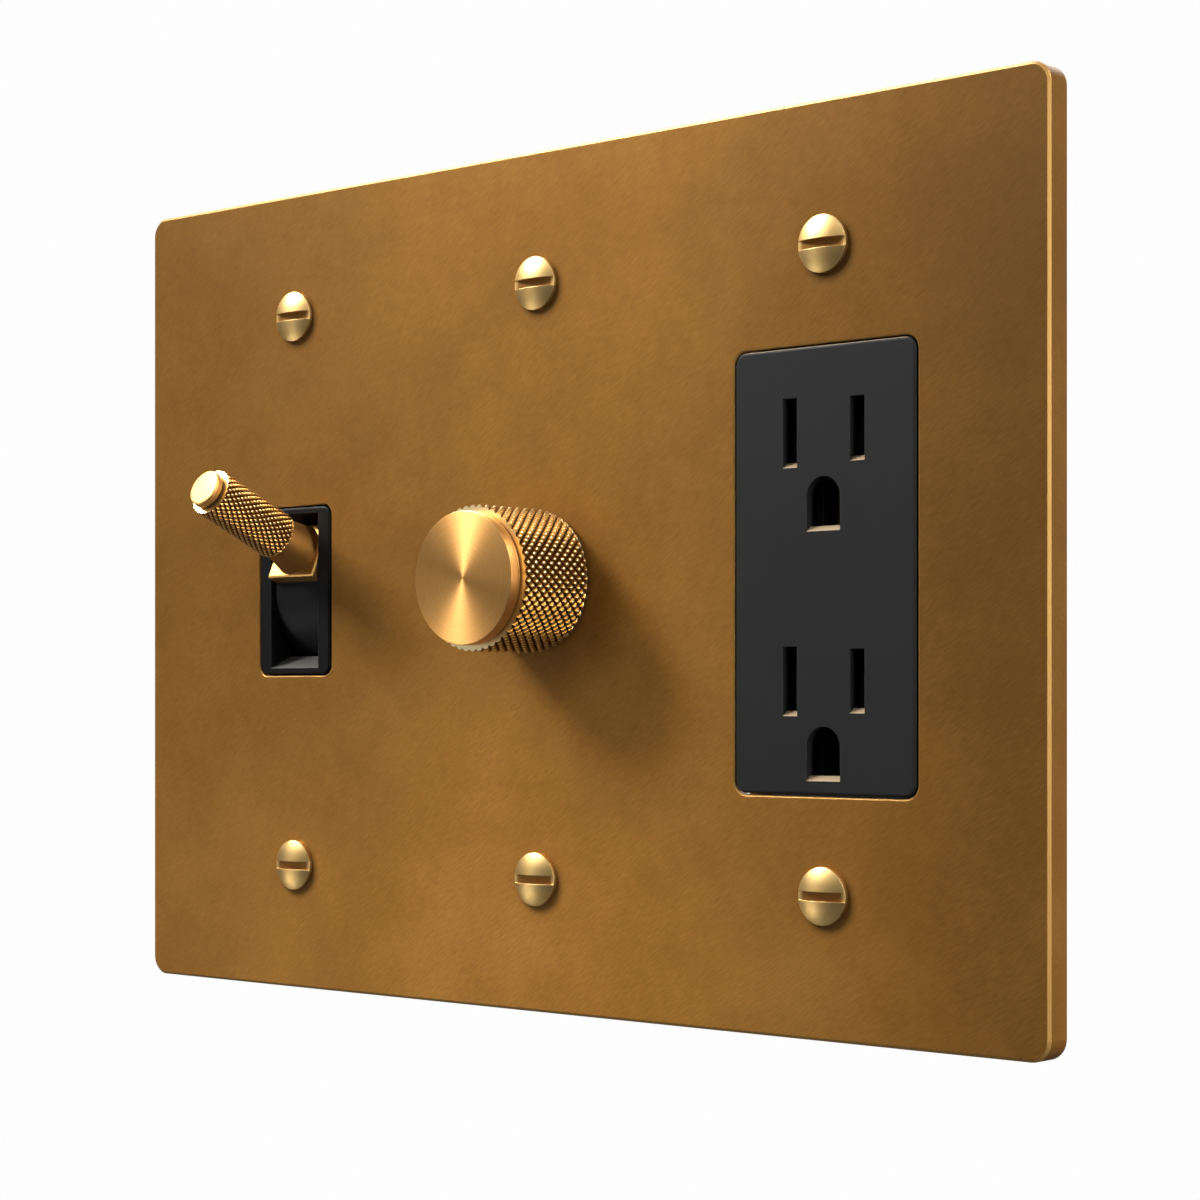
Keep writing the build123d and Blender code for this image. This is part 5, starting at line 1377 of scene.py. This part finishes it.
@dataclass
class WallPlate:
    """The brass plate and the screws that hold it and the devices."""

    plate_screw: SlottedScrew = SlottedScrew(
        head_radius=4.35 * MM, edge=0.6 * MM, dome=1.0 * MM, slot_width=1.42 * MM, slot_depth=1.1 * MM,
        neck_radius=1.75 * MM, neck_length=4.5 * MM, thread_radius=1.75 * MM, reach=10.5 * MM)
    box_screw: SlottedScrew = SlottedScrew(
        head_radius=3.3 * MM, edge=0.8 * MM, dome=0.5 * MM, slot_width=1.0 * MM, slot_depth=0.7 * MM,
        neck_radius=1.5 * MM, neck_length=1.2 * MM, thread_radius=1.75 * MM, reach=21.2 * MM)
    gang_pitch: float = GANG_PITCH
    plate_screw_spacing: float = PLATE_SCREW_SPACING
    box_screw_spacing: float = 83.34 * MM
    strap_front: float = -1.2 * MM

    def build(self) -> None:
        """Builds both sets of screws and dresses the plate."""
        dress(PLATE_BRASS, "wall_plate")
        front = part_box("wall_plate")[0].y
        heads = self.screws("plate_screw_set", self.plate_screw, front, self.plate_screw_spacing)
        install(heads, BRIGHT_BRASS, "frame", "plate_screws")
        device = self.screws("box_screw_set", self.box_screw, self.strap_front, self.box_screw_spacing)
        install(device, ZINC_STEEL, "frame", "box_screws")

    def screws(self, name: str, screw: SlottedScrew, seat: float, spacing: float) -> bpy.types.Object:
        """Builds one screw above and one below each device.

        Args:
            name: Name of the piece.
            screw: The screw that repeats.
            seat: Where the heads seat, along Y.
            spacing: Distance between the upper and the lower row.

        Returns:
            The six screws as one piece.
        """
        shell = Shell()
        for gang in (-1, 0, 1):
            for row in (1, -1):
                screw.add_to(shell, Axle((gang * self.gang_pitch, seat, row * spacing / 2)))
        piece = shell.build(name, smooth_angle=35)
        self.mark_slots(piece, screw, seat, spacing)
        return piece

    def mark_slots(self, piece: bpy.types.Object, screw: SlottedScrew, seat: float, spacing: float) -> None:
        """Stores how deep each point lies in its screw's slot, from nought to one, as the recess attribute.

        A point's gang is the nearest multiple of the pitch and its row is the sign of its height. Its depth
        is the crown's height over the same spot less its own height over the seat.

        Args:
            piece: The screws.
            screw: The screw that repeats.
            seat: Where the heads seat, along Y.
            spacing: Distance between the upper and the lower row.
        """
        x, y, z = mesh_points(piece.data).T
        across = x - np.round(x / self.gang_pitch) * self.gang_pitch
        away = z - np.sign(z) * spacing / 2
        height = seat - y
        depth = (screw.crown(across, away) - height) / screw.slot_depth
        in_slot = (np.abs(away) < screw.slot_width / 2 + SEAM) & (height > SEAM)
        store(piece, "recess", np.where(in_slot, np.clip(depth, 0, 1), 0))


@dataclass
class ToggleSwitch:
    """The tilting switch: knurled lever, bezel, drum and the works behind them."""

    knurl: DiamondKnurl = DiamondKnurl(teeth=26, rows=11, depth=0.32 * MM, length=16.5 * MM, bore=2.33 * MM,
                                       crest=0.36, bevel=0.1 * MM)
    collar_length: float = 5.6 * MM
    cap_height: float = 1.35 * MM
    cap_ease: float = 0.42 * MM
    neck_radius: float = 2.8 * MM
    stud_radius: float = 1.2 * MM
    segments: int = 96
    cap_sheen: float = 0.15
    lever: Axle = field(init=False)

    def __post_init__(self) -> None:
        """Finds the lever's axis: through the hinge, raised by half of the throw."""
        joint = next(joint for joint in frame["joints"] if joint["name"] == "toggle_tilt")
        tilt = math.radians(sum(joint["range_deg"]) / 2)
        along = (0.0, -math.cos(tilt), math.sin(tilt))
        up = (0.0, math.sin(tilt), math.cos(tilt))
        self.lever = Axle(tuple(joint["pos_m"]), along, up)

    def build(self) -> None:
        """Builds the grip and its cap and dresses the other pieces."""
        install(self.grip(), GRIP_BRASS_PAINTED_LIGHTER, "toggle_lever", "lever_grip")
        spun = SpunBrass(Slot.BRIGHT, "spun_lever_cap", axle=self.lever, sheen=self.cap_sheen)
        install(self.cap(), spun, "toggle_lever", "lever_end_cap")
        # The stem's brass is a darker copy of the screws' satin brass, painted shade that dims the block's
        # highlight.
        collared = CollarBrass(
            Slot.BRIGHT, "collared_stem_brass", dull=display(204, 156, 84), bright=display(214, 168, 96),
            tarnish_and_shade=display(170, 122, 62), roughness=0.44, axle=self.lever,
            shoulder=self.lever.span("lever_grip")[0] - self.collar_length)
        dress(collared, "lever_stem")
        dress(BEZEL_BLACK, "toggle_bezel")
        dress(DRUM_BLACK, "rocker_drum")
        dress(HOUSING_BLACK, "toggle_housing")
        dress(ZINC_STEEL, "toggle_strap", "toggle_rivets", "lever_pivot_pin", "rocker_pin", "snap_spring")
        dress(CONTACT_BRASS, "contact_rocker", "line_terminal", "load_terminal", "toggle_terminal_screws")
        dress(GROUND_GREEN, "toggle_ground_screw")

    def grip(self) -> bpy.types.Object:
        """Builds the knurled grip on the lever's axis.

        Returns:
            The grip.
        """
        start = self.lever.place(0.0, 0.0, self.lever.span("lever_grip")[0])
        axle = replace(self.lever, origin=tuple(start))
        return self.knurl.build("knurled_grip", axle, half_width("lever_grip"))

    def cap(self) -> bpy.types.Object:
        """Builds the turned end cap with its neck and stud.

        Returns:
            The cap.
        """
        radius = half_width("lever_end_cap")
        neck = self.lever.span("lever_grip")[1]
        tip, front = self.lever.span("lever_end_cap")
        back = front - self.cap_height
        corners = [(0, front), (radius, front), (radius, back), (self.neck_radius, back),
                   (self.neck_radius, neck), (self.stud_radius, neck), (self.stud_radius, tip), (0, tip)]
        piece = turned_piece("spun_end_cap", self.lever, corners, self.cap_ease, self.segments)
        mark_neck(piece, self.lever, back)
        return piece


@dataclass
class Dimmer:
    """The rotary dimmer: knurled knob with a spun face, heat-sink strap and the works behind them."""

    knurl: DiamondKnurl = DiamondKnurl(teeth=48, rows=8, depth=0.5 * MM, length=14.4 * MM, bore=8.8 * MM,
                                       crest=1 / 3, bevel=0.12 * MM)
    face_height: float = 2.0 * MM
    face_ease: float = 0.22 * MM
    groove_radius: float = 9.9 * MM
    fit: float = 0.03 * MM
    segments: int = 192
    face_sheen: float = 0.73
    shaft: Axle = Axle((0.0, 0.0, 0.0))

    def build(self) -> None:
        """Builds the knob and dresses the other pieces."""
        install(self.sleeve(), KNOB_BRASS, "dimmer_knob", "knob_sleeve")
        spun = SpunBrass(Slot.SPUN, "spun_knob_face", axle=self.shaft, sheen=self.face_sheen)
        install(self.face(), spun, "dimmer_knob", "knob_face")
        dress(ALUMINIUM, "dimmer_strap")
        dress(HOUSING_BLACK, "dimmer_housing", "potentiometer_wiper", "triac")
        dress(ZINC_STEEL, "dimmer_rivets", "dimmer_shaft", "bushing_nut", "potentiometer_case")
        dress(CONTACT_BRASS, "dimmer_bushing", "dimmer_terminals", "dimmer_terminal_screws")
        dress(BOARD_GREEN, "circuit_board")
        dress(COPPER_WIRE, "choke_coil")
        dress(CAPACITOR_RED, "film_capacitor")
        dress(GROUND_GREEN, "dimmer_ground_screw")

    def sleeve(self) -> bpy.types.Object:
        """Builds the knurled sleeve from its back end outwards.

        Returns:
            The sleeve.
        """
        axle = replace(self.shaft, origin=(0.0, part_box("knob_sleeve")[1].y, 0.0))
        return self.knurl.build("knurled_sleeve", axle, half_width("knob_sleeve"))

    def face(self) -> bpy.types.Object:
        """Builds the turned face with its groove, its spigot and the bore for the shaft.

        Returns:
            The face.
        """
        low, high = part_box("knob_face")
        shaft_low, shaft_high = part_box("dimmer_shaft")
        radius, front, back = high.x, -low.y, -high.y
        sleeve_front = -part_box("knob_sleeve")[0].y
        rim = front - self.face_height
        spigot = self.knurl.bore - self.fit
        bore, bore_end = shaft_high.x + self.fit, -shaft_low.y + self.fit
        corners = [(0, front), (radius, front), (radius, rim), (self.groove_radius, rim),
                   (self.groove_radius, sleeve_front), (spigot, sleeve_front), (spigot, back), (bore, back),
                   (bore, bore_end), (0, bore_end)]
        piece = turned_piece("spun_face", self.shaft, corners, self.face_ease, self.segments)
        mark_neck(piece, self.shaft, rim)
        return piece


class Receptacle:
    """The duplex receptacle: charcoal face, body, strap and contacts."""

    def build(self) -> None:
        """Dresses the pieces, which all keep their shapes."""
        dress(FACE_CHARCOAL, "receptacle_face")
        dress(HOUSING_BLACK, "receptacle_body")
        dress(ZINC_STEEL, "receptacle_strap", "receptacle_body_screws")
        dress(CONTACT_BRASS, "hot_contacts", "neutral_contacts", "ground_contacts", "hot_terminal_screws")
        dress(NICKEL, "neutral_terminal_screws")
        dress(GROUND_GREEN, "receptacle_ground_screw")


@dataclass(frozen=True)
class SoftBox:
    """An upright studio light that looks at the plate's middle."""

    name: str
    place: Triple
    width: float
    height: float
    power: float
    tint: Triple = (1.0, 1.0, 1.0)

    def build(self) -> None:
        """Builds the light."""
        lamp = bpy.data.lights.new(self.name, "AREA")
        lamp.shape = "RECTANGLE"
        lamp.size = self.width
        lamp.size_y = self.height
        lamp.energy = self.power
        lamp.color = self.tint
        light = bpy.data.objects.new(self.name, lamp)
        light.location = self.place
        light.rotation_euler = light.location.to_track_quat("Z", "Y").to_euler()
        bpy.context.scene.collection.objects.link(light)


@dataclass
class Studio:
    """White room, pale floor, soft lights and the camera."""

    lights: tuple[SoftBox, ...] = (
        SoftBox("key", (-0.62, -0.48, 0.62), 0.26, 0.26, 9.5),
        SoftBox("strip", (-0.65, -0.65, 0.15), 0.14, 0.6, 0.27),
        SoftBox("under_light", (-0.58, -0.68, -0.24), 0.2, 0.36, 0.2),
        SoftBox("foot_light", (-0.6, -0.44, -0.34), 0.2, 0.2, 0.45),
        SoftBox("front_fill", (0.25, -0.6, 0.55), 0.3, 0.3, 0.7),
        SoftBox("top_light", (-0.5, -0.04, 0.85), 0.4, 0.4, 12.0),
        SoftBox("side_light", (0.95, -0.27, 0.1), 0.3, 0.3, 4.2),
        SoftBox("glint_light", (0.75, 0.02, 0.62), 0.3, 0.3, 8.0),
        SoftBox("rim_light", (0.55, 0.85, 0.1), 0.4, 0.6, 0.95, (1.0, 0.88, 0.66)),
        SoftBox("back_fill", (-0.3, 1.0, 0.5), 0.8, 0.8, 10.0),
    )
    lens: float = 81.2
    sensor_width: float = 36.0
    image_pixels: float = 1200.0
    axis_drop_pixels: float = 100.6
    nearest_view: float = 0.01
    camera_place: Triple = (0.29846, -0.32797, -0.01937)
    camera_turn: Triple = (math.radians(90), 0.0, math.radians(41.35))
    floor_height: float = -0.45
    floor_width: float = 6.0
    floor_colour: Colour = (0.08, 0.08, 0.08, 1.0)
    room_light: Fade = Fade(-0.6, 0.9, 0.042, 0.078)
    backdrop: float = 0.985

    def build(self) -> None:
        """Builds the whole studio."""
        bpy.context.scene.view_settings.view_transform = "Standard"
        self.room()
        self.floor()
        for light in self.lights:
            light.build()
        self.camera()

    def room(self) -> None:
        """Builds a world that looks white and lights the part softly, brighter from above."""
        world = bpy.data.worlds.new("studio_room")
        graph = blank_graph(world)
        rise = graph.axes(graph.add("TexCoord").outputs["Generated"])["Z"]
        level = graph.fade(rise, self.room_light)
        lit = graph.add("Background", {"Color": WHITE, "Strength": level}).outputs[0]
        graph.add("OutputWorld", {"Surface": self.shown_white(graph, lit, "Background")})
        bpy.context.scene.world = world

    def floor(self) -> None:
        """Builds the pale floor, a flat grid that looks as white as the room."""
        span = np.array([-self.floor_width / 2, 0.0, self.floor_width / 2])
        x, y = np.meshgrid(span, span, indexing="ij")
        shell = Shell()
        shell.add(np.stack([x, y, np.full_like(x, self.floor_height)], axis=-1))
        floor = shell.build("studio_floor")
        material = bpy.data.materials.new("pale_floor")
        graph = blank_graph(material)
        lit = graph.add("BsdfDiffuse", {"Color": self.floor_colour}).outputs[0]
        graph.add("OutputMaterial", {"Surface": self.shown_white(graph, lit, "Emission")})
        floor.data.materials.append(material)

    def shown_white(self, graph: Graph, lit: bpy.types.NodeSocket, glow: str) -> bpy.types.NodeSocket:
        """Shows the camera plain white where other rays meet the lit shader.

        Args:
            graph: The graph of the floor's material or of the world.
            lit: The shader that other rays meet.
            glow: Kind of the node that gives the white.

        Returns:
            Both shaders mixed by the kind of ray.
        """
        white = graph.add(glow, {"Color": WHITE, "Strength": self.backdrop}).outputs[0]
        seen = graph.add("LightPath").outputs["Is Camera Ray"]
        return graph.add("MixShader", {0: seen, 1: lit, 2: white}).outputs[0]

    def camera(self) -> None:
        """Builds the camera, level with the plate and shifted up to the photograph's frame."""
        data = bpy.data.cameras.new("camera")
        data.lens = self.lens
        data.sensor_width = self.sensor_width
        data.shift_y = self.axis_drop_pixels / self.image_pixels
        data.clip_start = self.nearest_view
        camera = bpy.data.objects.new("camera", data)
        camera.location = self.camera_place
        camera.rotation_euler = self.camera_turn
        bpy.context.scene.collection.objects.link(camera)
        bpy.context.scene.camera = camera


def main() -> None:
    """Builds the sub-assemblies and the studio in order."""
    logging.basicConfig(level=logging.INFO, format="%(message)s")
    for part in (WallPlate(), ToggleSwitch(), Dimmer(), Receptacle(), Studio()):
        part.build()
        LOG.info("%s is done", type(part).__name__)


if __name__ == "__main__":
    main()
